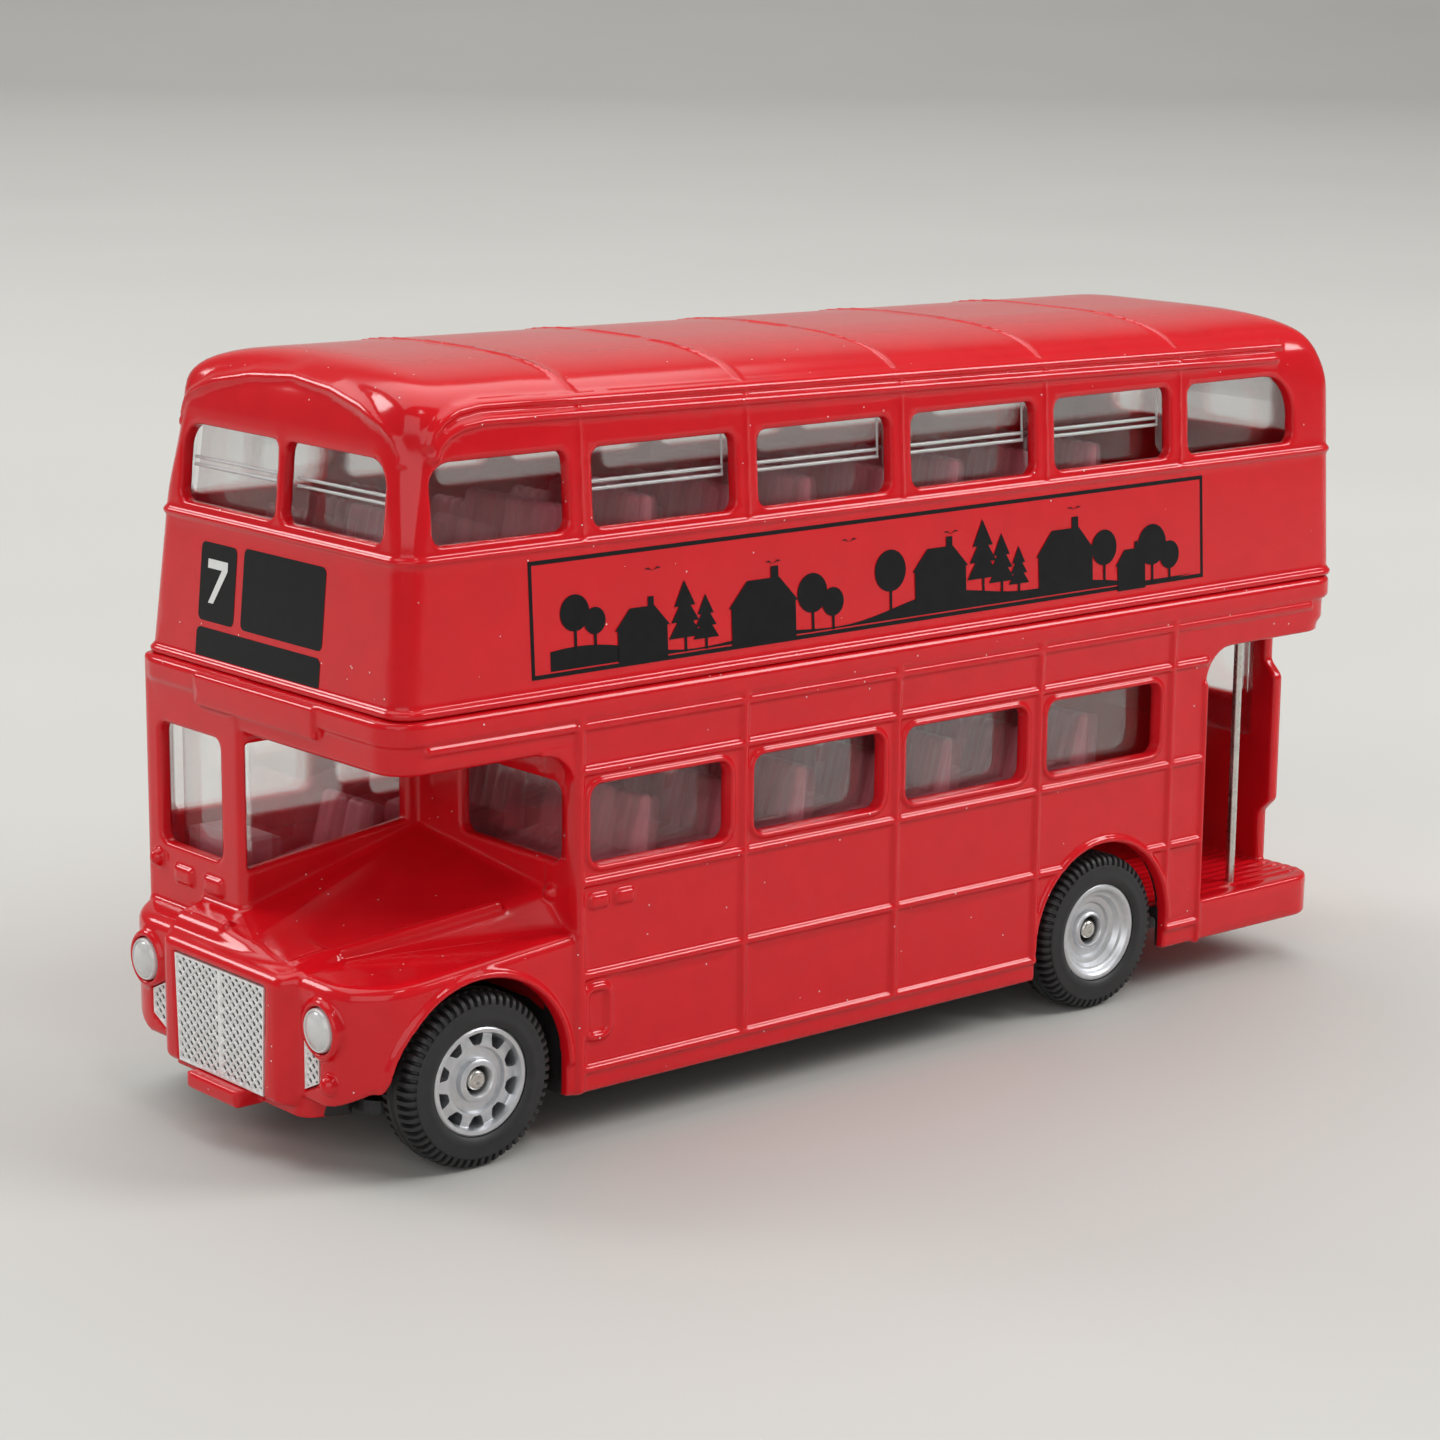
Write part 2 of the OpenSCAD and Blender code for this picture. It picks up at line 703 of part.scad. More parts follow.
// Outside of the lower casting, solid
module lower_solid() {
    along_z(skirt_z, seam_z) saloon_plan(0);
    along_z(canopy_z, seam_z) fascia_plan(0);
    along_z(seam_z - band_h, seam_z) band_plan(0);
    along_z(wing_front_z - wing_edge_drop, seam_z) cab_plan(0);
    nose_block(0, skirt_z, wing_tip_z);
    both_sides() side_beads();
}
module lower_hollow() {
    along_z(0, seam_z + overrun) saloon_plan(wall);
    along_z(deck_z, seam_z + overrun) fascia_plan(wall);
    along_z(0, canopy_z) cab_plan(wall);
    nose_block(wall, 0, 0);
    block([bulkhead_x - overrun, cab_side_y + wall, 0],
        [bulkhead_x + wall + overrun, panel_y - wall, canopy_z]);
    block([base_front_x - side_gap, -base_y - side_gap, 0],
        [base_rear_x + side_gap, base_y + side_gap, base_top]);
    both_sides() {
        for (x = [front_axle_x, rear_axle_x]) {
            rod_y(x, axle_z, 2 * arch_r, -body_w, wheel_gap_y);
            block([x - arch_r, -body_w, 0], [x + arch_r, wheel_gap_y, axle_z]);
        }
    }
}

// Seats for the lamps, the grilles and the number plate on the nose
module nose_fittings() {
    block([nose_x, -plate_y, plate_z], [housing_front_x + wall, plate_y, plate_z + plate_h]);
    both_sides()
        translate([wing_front_x - lamp_bezel_h, -lamp_y, lamp_z]) rotate([0, 90, 0])
            cylinder(h = wall + lamp_bezel_h, d = lamp_d + 2 * lamp_bezel_w);
}
module nose_pockets() {
    along_x(housing_front_x - overrun, housing_front_x + grille_t)
        polygon(grille_outline(fit_gap));
    both_sides() {
        translate([wing_front_x - lamp_bezel_h - overrun, -lamp_y, lamp_z]) rotate([0, 90, 0])
            cylinder(h = overrun + lamp_t, d = lamp_d + 2 * fit_gap);
        translate([wing_front_x, -lamp_y, lamp_z]) rotate([0, 90, 0])
            cylinder(h = wall + overrun, d = lamp_stem_d + 2 * press_gap);
        along_x(wing_front_x - overrun, wing_front_x + wing_grille_t)
            polygon(wing_grille_outline(fit_gap));
    }
}
function grille_outline(d) = [
    [-grille_foot_y - d, grille_z - d],
    [grille_foot_y + d, grille_z - d],
    [grille_y + d, grille_z + grille_h + d],
    [-grille_y - d, grille_z + grille_h + d]
];
function wing_grille_outline(d) = [
    [-wing_grille_in_y + d, wing_grille_z - d],
    [-wing_grille_in_y + d, wing_grille_z + wing_grille_h + d],
    [-wing_grille_out_y - d, wing_grille_z + wing_grille_h - wing_grille_cut + d],
    [-wing_grille_out_y - d, wing_grille_z + wing_grille_cut - d]
];

module lower_body() {
    color([0.72, 0.05, 0.08]) difference() {
        union() {
            difference() {
                lower_solid();
                lower_hollow();
                lower_windows();
                platform_opening();
            }
            along_y(-panel_y, wall - panel_y) {
                corner_gusset(platform_x, platform_head_z, head_corner_r, 1);
                corner_gusset(bulkhead_x, canopy_z, head_corner_r, -1);
            }
            intersection() {
                along_z(deck_z - deck_plate_t, deck_z) fascia_plan(bead_sink);
                union() {
                    block([nose_x, -body_w, 0], [bulkhead_x + wall, body_w, roof_z]);
                    block([platform_x, -body_w, 0], [tail_x, body_w, roof_z]);
                }
            }
            intersection() {
                along_z(platform_z - slab_t, platform_z) saloon_plan(bead_sink);
                block([platform_x - ledge_l, -body_w, 0], [tail_x, body_w, roof_z]);
            }
            for (i = [0, 1])
                rod_z(base_screw_x[i], 0, base_boss_d, pad_top, boss_top_z[i]);
            nose_fittings();
        }
        nose_pockets();
        for (x = base_screw_x)
            rod_z(x, 0, screw_d + 2 * press_gap, 0, screw_top + screw_gap);
        for (x = deck_screw_x) {
            rod_z(x, deck_boss_y, screw_d + 2 * screw_gap, deck_z - deck_plate_t - overrun, deck_z + overrun);
            rod_z(x, deck_boss_y, screw_head_d + 2 * screw_gap, canopy_z - overrun, deck_z - deck_plate_t);
        }
        rod_z(pole_x, pole_y, pole_d + 2 * press_gap, platform_z - pole_seat,
            deck_z - deck_plate_t + pole_seat);
    }
}

// Clear windows of the lower deck and the cab
module lower_glazing() {
    front_x = bulkhead_x + wall + fit_gap;
    cab_x = cab_front_x + wall + fit_gap;
    cab_y = cab_side_y + wall + fit_gap;
    back_x = rear_x - wall - fit_gap;
    color([0.85, 0.88, 0.9, 0.4]) {
        block([front_x, -pane_y, pane_z0], [platform_x - wall, glaze_t - pane_y, pane_z1]);
        block([front_x, -pane_y, pane_z0], [front_x + glaze_t, cab_y + glaze_t, pane_z1]);
        block([cab_x, cab_y, pane_z0], [front_x + glaze_t, cab_y + glaze_t, pane_z1]);
        block([cab_x, cab_y, pane_z0], [cab_x + glaze_t, pane_y - cab_r + glaze_t, pane_z1]);
        along_z(pane_z0, pane_z1)
            polygon([
                [cab_x, pane_y - cab_r],
                [cab_x + cab_r, pane_y],
                [cab_x + cab_r + glaze_t, pane_y - glaze_t],
                [cab_x + glaze_t, pane_y - cab_r - glaze_t]
            ]);
        block([cab_x + cab_r, pane_y - glaze_t, pane_z0], [back_x - rear_r, pane_y, pane_z1]);
        along_z(pane_z0, pane_z1)
            polygon([
                [back_x - rear_r - glaze_t, pane_y],
                [back_x - rear_r, pane_y],
                [back_x, pane_y - rear_r],
                [back_x, pane_y - rear_r - glaze_t],
                [back_x - glaze_t, pane_y - rear_r - glaze_t],
                [back_x - rear_r - glaze_t, pane_y - glaze_t]
            ]);
        block([back_x - glaze_t, -rear_wall_edge_y + pillar_w / 2, pane_z0],
            [back_x, pane_y - rear_r - glaze_t / 2, pane_z1]);
    }
}

// One bench, facing the front, with its back's foot at x
function bench_outline(x, z, h, drop) = [
    [x - seat_cushion_l, z],
    [x - seat_cushion_l, z + h - drop - seat_cushion_h],
    [x, z + h - drop],
    [x + seat_lean, z + h],
    [x + seat_lean + seat_back_t, z + h],
    [x + seat_back_t, z]
];
module bench_pair(x, z, h, drop) {
    both_sides()
        along_y(-seat_out_y, -aisle_w / 2) polygon(bench_outline(x, z, h, drop));
}
module upper_deck_seats() {
    deck_top = deck_z + deck_floor_t;
    color([0.45, 0.08, 0.12]) {
        block([deck_screw_x[0] + deck_boss_d, -pane_y, deck_z],
            [deck_screw_x[1] - deck_boss_d, pane_y, deck_top]);
        for (k = [0:2 * bays - 1])
            bench_pair(bay_x(k / 2), deck_z, upper_seat_h, upper_cushion_drop);
    }
}
module lower_deck_seats() {
    top = lower_floor_z + lower_floor_t;
    seats_x0 = bulkhead_x + wall + leg_t;
    seats_x1 = platform_x - wall;
    cab_floor_x = cab_front_x + 2 * wall + glaze_t;
    color([0.45, 0.08, 0.12]) {
        block([seats_x0, -seat_out_y, lower_floor_z], [seats_x1, seat_out_y, top]);
        block([cab_floor_x, driver_y, lower_floor_z], [seats_x0 + overrun, seat_out_y, top]);
        block([cab_floor_x, driver_y, lower_floor_z], [cab_floor_x + dash_l, seat_out_y, top + dash_h]);
        along_y(driver_y, seat_out_y)
            polygon(bench_outline(bulkhead_x - driver_x_gap, lower_floor_z, lower_seat_h - seat_back_t,
                lower_cushion_drop));
        for (k = [1:2 * bays - 1])
            bench_pair(bay_x(k / 2), lower_floor_z, lower_seat_h, lower_cushion_drop);
        both_sides()
            block([front_axle_x + arch_r + leg_gap, -base_y + side_gap, base_top],
                [rear_axle_x - arch_r - leg_gap, -base_y + side_gap + leg_t, top - lower_floor_t / 2]);
    }
}

module base_plate() {
    color([0.06, 0.06, 0.07]) difference() {
        union() {
            along_z(base_z, base_top) {
                polygon(round_rect(base_front_x, -base_y, base_rear_x, base_y, base_corner_r));
                polygon(round_rect(bulkhead_x + wall + fit_gap, -pane_y, rear_axle_x - arch_r, pane_y,
                    base_corner_r));
            }
            for (x = base_screw_x) rod_z(x, 0, base_boss_d + 2 * screw_gap, base_z, pad_top);
            for (x = [front_axle_x, rear_axle_x])
                both_sides() {
                    block([x - bearing_l / 2, -base_y, base_z],
                        [x + bearing_l / 2, bearing_w - base_y, axle_z]);
                    rod_y(x, axle_z, axle_d + 2 * bearing_cap, -base_y, bearing_w - base_y);
                }
        }
        for (x = [front_axle_x, rear_axle_x])
            rod_y(x, axle_z, axle_d + 2 * running_gap, -body_w, body_w);
        for (x = base_screw_x) {
            rod_z(x, 0, screw_d + 2 * screw_gap, 0, pad_top + overrun);
            rod_z(x, 0, screw_head_d + 2 * screw_gap, 0, base_z + screw_recess);
        }
    }
}

// Wheels
module axle(x) {
    y = wheel_y - hub_side + axle_proud / 2;
    color([0.75, 0.75, 0.76]) rod_y(x, axle_z, axle_d, -y, y);
}
module front_axle() {
    axle(front_axle_x);
}
module rear_axle() {
    axle(rear_axle_x);
}
// Round profile of a hub: radius, then depth from the tyre's outer face
module hub_profile() {
    rim_r = rim_d / 2;
    bore_r = axle_d / 2 + press_gap;
    translate([rim_r - hub_wall, hub_side]) square([hub_wall, tyre_w - 2 * hub_side]);
    translate([bore_r, hub_dish]) square([rim_r - hub_wall / 2 - bore_r, hub_web_t]);
    translate([bore_r, hub_boss_out]) square([hub_boss_d / 2 - bore_r, tyre_w - hub_boss_out + side_gap]);
    translate([hub_ring_r, hub_dish - hub_ring_w]) square([hub_ring_w, hub_ring_w + hub_web_t / 2]);
}
module hub(x, slots) {
    color([0.78, 0.79, 0.8])
        translate([x, -wheel_y, axle_z]) rotate([-90, 0, 0]) difference() {
            rotate_extrude() hub_profile();
            if (slots)
                for (i = [0:hub_slots - 1])
                    rotate([0, 0, 360 * i / hub_slots])
                        translate([hub_ring_r + hub_ring_w, -hub_slot_w / 2, 0])
                            cube([hub_slot_l, hub_slot_w, hub_dish + hub_web_t + overrun]);
        }
}
module tyre(x) {
    in_r = rim_d / 2 + press_gap;
    out_r = tyre_d / 2;
    mid = tyre_w / 2;
    color([0.08, 0.08, 0.09])
        translate([x, -wheel_y, axle_z]) rotate([-90, 0, 0]) rotate_extrude()
            polygon(concat(
                [[in_r, 0]],
                arc(out_r - tyre_shoulder, tyre_shoulder, tyre_shoulder, -90, 0),
                [
                    [out_r, mid - tyre_groove_w / 2],
                    [out_r - tyre_groove_d, mid - tyre_groove_w / 2],
                    [out_r - tyre_groove_d, mid + tyre_groove_w / 2],
                    [out_r, mid + tyre_groove_w / 2]
                ],
                arc(out_r - tyre_shoulder, tyre_w - tyre_shoulder, tyre_shoulder, 0, 90),
                [[in_r, tyre_w]]
            ));
}
module right_side() {
    mirror([0, 1, 0]) children();
}
module front_left_hub() {
    hub(front_axle_x, true);
}
module front_right_hub() {
    right_side() hub(front_axle_x, true);
}
module rear_left_hub() {
    hub(rear_axle_x, false);
}
module rear_right_hub() {
    right_side() hub(rear_axle_x, false);
}
module front_left_tyre() {
    tyre(front_axle_x);
}
module front_right_tyre() {
    right_side() tyre(front_axle_x);
}
module rear_left_tyre() {
    tyre(rear_axle_x);
}
module rear_right_tyre() {
    right_side() tyre(rear_axle_x);
}

// Silver inserts and lamps on the nose
module radiator_grille() {
    color([0.8, 0.8, 0.8]) {
        along_x(housing_front_x + grille_bar_h, housing_front_x + grille_t) polygon(grille_outline(0));
        block([housing_front_x, -grille_bar_w / 2, grille_z],
            [housing_front_x + grille_t, grille_bar_w / 2, grille_z + grille_h]);
    }
}
module wing_grille() {
    color([0.8, 0.8, 0.8])
        along_x(wing_front_x, wing_front_x + wing_grille_t) polygon(wing_grille_outline(0));
}
module wing_grille_left() {
    wing_grille();
}
module wing_grille_right() {
    right_side() wing_grille();
}
// Lamp lens with a domed front and a stem behind
module headlamp() {
    dome_r = (pow(lamp_d / 2, 2) + pow(lamp_dome_h, 2)) / (2 * lamp_dome_h);
    half_angle = asin(lamp_d / 2 / dome_r);
    color([0.85, 0.86, 0.86])
        translate([wing_front_x - lamp_bezel_h + lamp_t, -lamp_y, lamp_z]) rotate([0, -90, 0]) {
            rotate_extrude()
                polygon(concat(
                    [[0, 0], [lamp_d / 2, 0]],
                    [
                        for (i = [0:arc_steps])
                            let (a = half_angle * (1 - i / arc_steps))
                            [dome_r * sin(a), lamp_t + lamp_dome_h - dome_r * (1 - cos(a))]
                    ]
                ));
            translate([0, 0, -lamp_stem_l]) cylinder(h = lamp_stem_l, d = lamp_stem_d);
        }
}
module headlamp_left() {
    headlamp();
}
module headlamp_right() {
    right_side() headlamp();
}

module grab_pole() {
    color([0.72, 0.72, 0.7])
        rod_z(pole_x, pole_y, pole_d, platform_z - pole_seat, deck_z - deck_plate_t + pole_seat);
}

// A screw pointing up, with the underside of what it clamps at z
module screw(x, y, z, grip) {
    rod_z(x, y, screw_head_d, z - screw_head_h, z);
    rod_z(x, y, screw_d, z - screw_head_h / 2, z + grip);
}
module assembly_screws() {
    color([0.6, 0.6, 0.62]) {
        for (x = base_screw_x) screw(x, 0, base_z + screw_recess, base_t + screw_grip);
        for (x = deck_screw_x) screw(x, deck_boss_y, deck_z - deck_plate_t, deck_plate_t + screw_grip);
    }
}

upper_body();
lower_body();
upper_glazing();
lower_glazing();
upper_deck_seats();
lower_deck_seats();
base_plate();
front_axle();
rear_axle();
front_left_hub();
front_right_hub();
rear_left_hub();
rear_right_hub();
front_left_tyre();
front_right_tyre();
rear_left_tyre();
rear_right_tyre();
radiator_grille();
headlamp_left();
headlamp_right();
wing_grille_left();
wing_grille_right();
grab_pole();
assembly_screws();
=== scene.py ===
"""Looks of a die-cast toy double-deck bus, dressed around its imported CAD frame.

The two red castings are modelled as signed distances on a grid, so that every edge has the soft,
paint-filled radius of a casting. Lengths are in millimetres until a mesh is made, which is in metres.
Front towards -X, open platform towards -Y, ground at Z = 0.
"""
import math

import bpy
import bmesh
import numpy as np
import openvdb
from mathutils import Matrix, Vector


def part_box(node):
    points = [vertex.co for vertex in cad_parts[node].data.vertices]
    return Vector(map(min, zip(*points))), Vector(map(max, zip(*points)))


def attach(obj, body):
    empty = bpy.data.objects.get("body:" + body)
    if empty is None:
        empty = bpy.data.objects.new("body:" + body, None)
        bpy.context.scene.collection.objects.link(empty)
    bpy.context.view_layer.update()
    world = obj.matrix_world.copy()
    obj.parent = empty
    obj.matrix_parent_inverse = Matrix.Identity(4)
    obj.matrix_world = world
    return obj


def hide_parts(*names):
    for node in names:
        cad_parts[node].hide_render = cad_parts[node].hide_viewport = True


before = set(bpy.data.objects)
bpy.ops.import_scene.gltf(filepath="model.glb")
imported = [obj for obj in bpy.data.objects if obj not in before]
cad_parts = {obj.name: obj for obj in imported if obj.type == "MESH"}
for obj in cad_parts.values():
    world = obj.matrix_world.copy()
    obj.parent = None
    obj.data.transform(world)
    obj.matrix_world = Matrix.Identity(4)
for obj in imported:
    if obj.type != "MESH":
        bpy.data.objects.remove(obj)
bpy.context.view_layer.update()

MM = 0.001


def box_mm(node):
    """Lowest and highest corner of a CAD node, in millimetres."""
    return [np.array(corner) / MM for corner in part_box(node)]


# Driving sizes, from the frame where it has them
LOWER_LOW, LOWER_HIGH = box_mm("lower_body")
UPPER_LOW, UPPER_HIGH = box_mm("upper_body")
TYRE_LOW, TYRE_HIGH = box_mm("front_left_tyre")
REAR_TYRE_LOW, REAR_TYRE_HIGH = box_mm("rear_left_tyre")

NOSE_X, TAIL_X = LOWER_LOW[0], LOWER_HIGH[0]
BODY_Y = LOWER_HIGH[1]
SEAM_Z = LOWER_HIGH[2]
TYRE_R = (TYRE_HIGH[2] - TYRE_LOW[2]) / 2
AXLE_Z = TYRE_R
FRONT_AXLE_X = (TYRE_LOW[0] + TYRE_HIGH[0]) / 2
REAR_AXLE_X = (REAR_TYRE_LOW[0] + REAR_TYRE_HIGH[0]) / 2

WALL = 1.3
BEAD_H = 0.38
PANEL_Y = BODY_Y - BEAD_H
SKIRT_Z = 4.5
BULKHEAD_X = FRONT_AXLE_X + 9.95
BAYS = 4
BAY_PITCH = 18.25
PILLAR = 2.9
BAY_X = [BULKHEAD_X + k * BAY_PITCH for k in range(BAYS + 1)]
PLATFORM_X = BAY_X[BAYS] + 5.5
PLATFORM_Z = 8.6
PLATFORM_HEAD_Z = SEAM_Z - 5.5
REAR_X = TAIL_X - 1.0
OUT_Y = BODY_Y + 1.0
FAR = 99.0
EVERYWHERE = ((-FAR, -FAR, -FAR), (FAR, FAR, FAR))
ROOM, MARGIN = 2.0, 0.8

CELL = 0.2
ADAPT, SLOPE_STEP = 0.02, 0.75


# Signed distances
def soft_min(a, b, blend):
    """Union, with a fillet about as wide as blend."""
    if not blend:
        return np.minimum(a, b)
    near = np.maximum(blend - np.abs(a - b), 0)
    return np.minimum(a, b) - near * near / (4 * blend)


def soft_max(a, b, blend):
    """Intersection, with its edge rounded over about blend."""
    return -soft_min(-a, -b, blend)


def round_max(a, b, radius):
    """Intersection, with its edge rounded to a true radius."""
    corner = np.hypot(np.maximum(a + radius, 0), np.maximum(b + radius, 0))
    return corner - radius + np.minimum(np.maximum(a, b) + radius, 0)


def slab(u, low, high):
    """Distance from the space between two parallel planes."""
    return np.maximum(low - u, u - high)


def polyline(u, v, points, closed=True):
    """Distance from a line through points, negative inside a closed one, or from a prism of that section."""
    shape = np.broadcast(u, v).shape
    best = np.full(shape, 1e9, np.float32)
    inside = np.zeros(shape, bool)
    ends = list(zip(points, points[1:] + points[:1])) if closed else list(zip(points, points[1:]))
    for (au, av), (bu, bv) in ends:
        eu, ev = bu - au, bv - av
        t = np.clip(((u - au) * eu + (v - av) * ev) / max(eu * eu + ev * ev, 1e-12), 0, 1)
        best = np.minimum(best, (u - au - t * eu) ** 2 + (v - av - t * ev) ** 2)
        if closed and ev:
            inside ^= ((av > v) != (bv > v)) & (u < au + (v - av) * eu / ev)
    best = np.sqrt(best)
    return np.where(inside, -best, best) if closed else best


def arc(cu, cv, radius, start, end, steps=10):
    """Points on an arc, angles in degrees."""
    turn = [math.radians(start + (end - start) * i / steps) for i in range(steps + 1)]
    return [(cu + radius * math.cos(a), cv + radius * math.sin(a)) for a in turn]


def corners(low, high, radii):
    """Outline of a rectangle; four radii go anticlockwise from the corner of high u and high v."""
    (u0, v0), (u1, v1) = low, high
    a, b, c, d = radii if isinstance(radii, tuple) else (radii,) * 4
    return (arc(u1 - a, v1 - a, a, 0, 90) + arc(u0 + b, v1 - b, b, 90, 180)
            + arc(u0 + c, v0 + c, c, 180, 270) + arc(u1 - d, v0 + d, d, 270, 360))


def ease(value, low, high):
    """0 below low, 1 above high, smooth between."""
    t = np.clip((value - low) / (high - low), 0, 1)
    return t * t * (3 - 2 * t)


def block(x, y, z, low, high, radius):
    """Distance from a box with round edges."""
    gaps = [np.abs(u - (a + b) / 2) - (b - a) / 2 + radius for u, a, b in zip((x, y, z), low, high)]
    outside = np.sqrt(sum(np.maximum(g, 0) ** 2 for g in gaps))
    return outside + np.minimum(np.maximum(np.maximum(gaps[0], gaps[1]), gaps[2]), 0) - radius


def new_object(name, data):
    """An object of some data, linked into the scene."""
    obj = bpy.data.objects.new(name, data)
    bpy.context.scene.collection.objects.link(obj)
    return obj


class Casting:
    """A grid of signed distances that solids are added to and cut from."""

    def __init__(self, low, high):
        self.low = np.array(low, np.float32)
        count = [int(math.ceil((h - l) / CELL)) + 1 for l, h in zip(low, high)]
        self.axes = [np.float32(l) + np.float32(CELL) * np.arange(n, dtype=np.float32)
                     for l, n in zip(low, count)]
        self.d = np.full(count, 9, np.float32)
        self.skin = None

    def part(self, low, high):
        """Slices, and coordinates that broadcast, of the grid between two corners."""
        cuts = tuple(slice(max(int((l - a[0]) / CELL), 0), max(int((h - a[0]) / CELL) + 2, 1))
                     for l, h, a in zip(low, high, self.axes))
        x, y, z = (a[c] for a, c in zip(self.axes, cuts))
        return cuts, x[:, None, None], y[None, :, None], z[None, None, :]

    def add(self, low, high, shape, blend=0.0):
        """Joins a shape on, working between two corners only."""
        cuts, x, y, z = self.part(low, high)
        self.d[cuts] = soft_min(self.d[cuts], shape(x, y, z), blend)

    def cut(self, low, high, shape, blend=0.0):
        """Takes a shape away, working between two corners only."""
        cuts, x, y, z = self.part(low, high)
        self.d[cuts] = soft_max(self.d[cuts], -shape(x, y, z), blend)

    def add_block(self, low, high, radius, blend):
        """Joins on a box with round edges."""
        self.add([c - ROOM for c in low], [c + ROOM for c in high],
                 lambda x, y, z: block(x, y, z, low, high, radius), blend)

    def cut_side(self, outline, low_y, high_y, blend, grow=0.0):
        """Cuts an opening through the sides, from its outline in x and z."""
        low, high = np.min(outline, axis=0) - ROOM, np.max(outline, axis=0) + ROOM
        self.cut((low[0], low_y, low[1]), (high[0], high_y, high[1]),
                 lambda x, y, z: polyline(x, z, outline) - grow, blend)

    def cut_end(self, outline, low_x, high_x, blend):
        """Cuts an opening through an end, from its outline in y and z."""
        low, high = np.min(outline, axis=0) - ROOM, np.max(outline, axis=0) + ROOM
        self.cut((low_x, *low), (high_x, *high), lambda x, y, z: polyline(y, z, outline), blend)

    def keep_skin(self):
        """Remembers the surface that beads are laid on."""
        self.skin = self.d.copy()

    def bead(self, low, high, line, radius, blend=0.25):
        """A half-round bead on the skin, along a line whose distance is given."""
        cuts, x, y, z = self.part(low, high)
        self.d[cuts] = soft_min(self.d[cuts], np.hypot(self.skin[cuts], line(x, y, z)) - radius, blend)

    def mesh(self, name):
        """The zero surface as a smooth mesh object."""
        limit = 3 * CELL
        grid = openvdb.FloatGrid(limit)
        grid.copyFromArray(np.clip(self.d, -limit, limit))
        points, triangles, quads = grid.convertToPolygons(isovalue=0.0, adaptivity=ADAPT)
        normals = self.slope(points)
        places = points * CELL + self.low
        faces = quads.tolist() + triangles.tolist()
        data = bpy.data.meshes.new(name)
        data.from_pydata((places * MM).tolist(), [], faces)
        data.validate()
        data.update()
        data.polygons.foreach_set("use_smooth", [True] * len(data.polygons))
        data.normals_split_custom_set_from_vertices(normals.tolist())
        return new_object(name, data)

    def slope(self, points):
        """Unit normals of the distances at points given in grid steps."""
        steps = SLOPE_STEP * np.eye(3)
        normal = np.stack([self.sample(points + step) - self.sample(points - step) for step in steps], 1)
        return normal / np.maximum(np.linalg.norm(normal, axis=1, keepdims=True), 1e-9)

    def sample(self, points):
        """Distances at points between the grid's own, by share of the eight around each."""
        base = np.clip(np.floor(points).astype(int), 0, np.array(self.d.shape) - 2)
        part = np.clip(points - base, 0, 1)
        total = 0
        for corner in np.ndindex(2, 2, 2):
            share = np.where(corner, part, 1 - part).prod(axis=1)
            total = total + share * self.d[tuple((base + corner).T)]
        return total


# Upper casting
UPPER_INSET = 0.3
UPPER_FRONT_X = UPPER_LOW[0] + UPPER_INSET
UPPER_REAR_X = UPPER_HIGH[0] - UPPER_INSET
UPPER_Y = BODY_Y - 0.4
ROOF_Z = UPPER_HIGH[2] - 0.06
UPPER_BELOW_Z = SEAM_Z - 6
TUMBLE, FRONT_LEAN = 1.4, 2.0
ROOF_RISE, ROOF_FALL = 4.6, 1.2
ROOF_SLOPE = ROOF_FALL / (UPPER_REAR_X - UPPER_FRONT_X)
FRONT_DOME, REAR_DOME = (7.2, 6.4), (8.8, 8.6)
DOME_POWER, REAR_DOME_POWER, DOME_STEPS = 2.7, 2.4, 24
DOME_BLUR, FRONT_BLUR_L, REAR_BLUR_L = 1.3, 20, 22
BLUR_START, BLUR_FULL = 1, 7
CANT_Z = ROOF_Z - ROOF_RISE
LEAN_TOP_Z = ROOF_Z - FRONT_DOME[1]
LEAN_SLOPE = FRONT_LEAN / (LEAN_TOP_Z - SEAM_Z)
TUMBLE_SLOPE = TUMBLE / (CANT_Z - SEAM_Z)
FRONT_CORNER_R, HIGH_CORNER_R, REAR_CORNER_R = 2.1, 3.6, 2.4
SHARP_Z = (CANT_Z - 1.26, CANT_Z + 1.74)

UPPER_SILL_Z, UPPER_HEAD_Z = SEAM_Z + 13.9, SEAM_Z + 20.6
CORNER_GROWS_Z = (UPPER_SILL_Z - 0.4, UPPER_HEAD_Z + 0.4)
BLUR_GROWS_Z = (UPPER_HEAD_Z - 1.6, CANT_Z + 0.24)
UPPER_BAY_X = [x + 1.3 for x in BAY_X]
FIRST_WINDOW_X, LAST_WINDOW_X = UPPER_FRONT_X + 4.1, UPPER_REAR_X - 6.5
WINDOW_R, FIRST_WINDOW_R, LAST_WINDOW_R, FRONT_PANE_R = 1.0, 2.0, 4.0, 2.4
WINDOW_SOFT = 0.35
UPPER_PILLAR, FRONT_PILLAR = 2.6, 1.0
FRONT_PANE_Y, BACK_PANE_Y = 15.3, 11.0

LIP_Z, LIP_R = SEAM_Z + 0.45, 0.36
SILL_BEAD_Z, SILL_BEAD_R = UPPER_SILL_Z - 1.1, 0.3
GUTTER_Z, GUTTER_GAP, GUTTER_R, GUTTER_SOFT = ROOF_Z - 4.3, 1.2, 0.42, 0.3
GUTTER_BENDS = (((4.3, -1.464), (4.6, -0.564), (5.5, 0.336), (7.2, 1.136), (9.6, 1.436)),
                ((4.6, -2.464), (5.0, -1.564), (5.9, -0.764), (7.4, -0.164), (9.6, 0.136)))
GUTTER_END, GUTTER_IN_Y = 8, 12
BROW_Z = ROOF_Z - 1.664
BROW = ((16.7, -6.1), (16.5, -4.9), (15.8, -3.7), (14.4, -2.7), (11.1, -1.5), (6.1, -0.5), (0, 0))
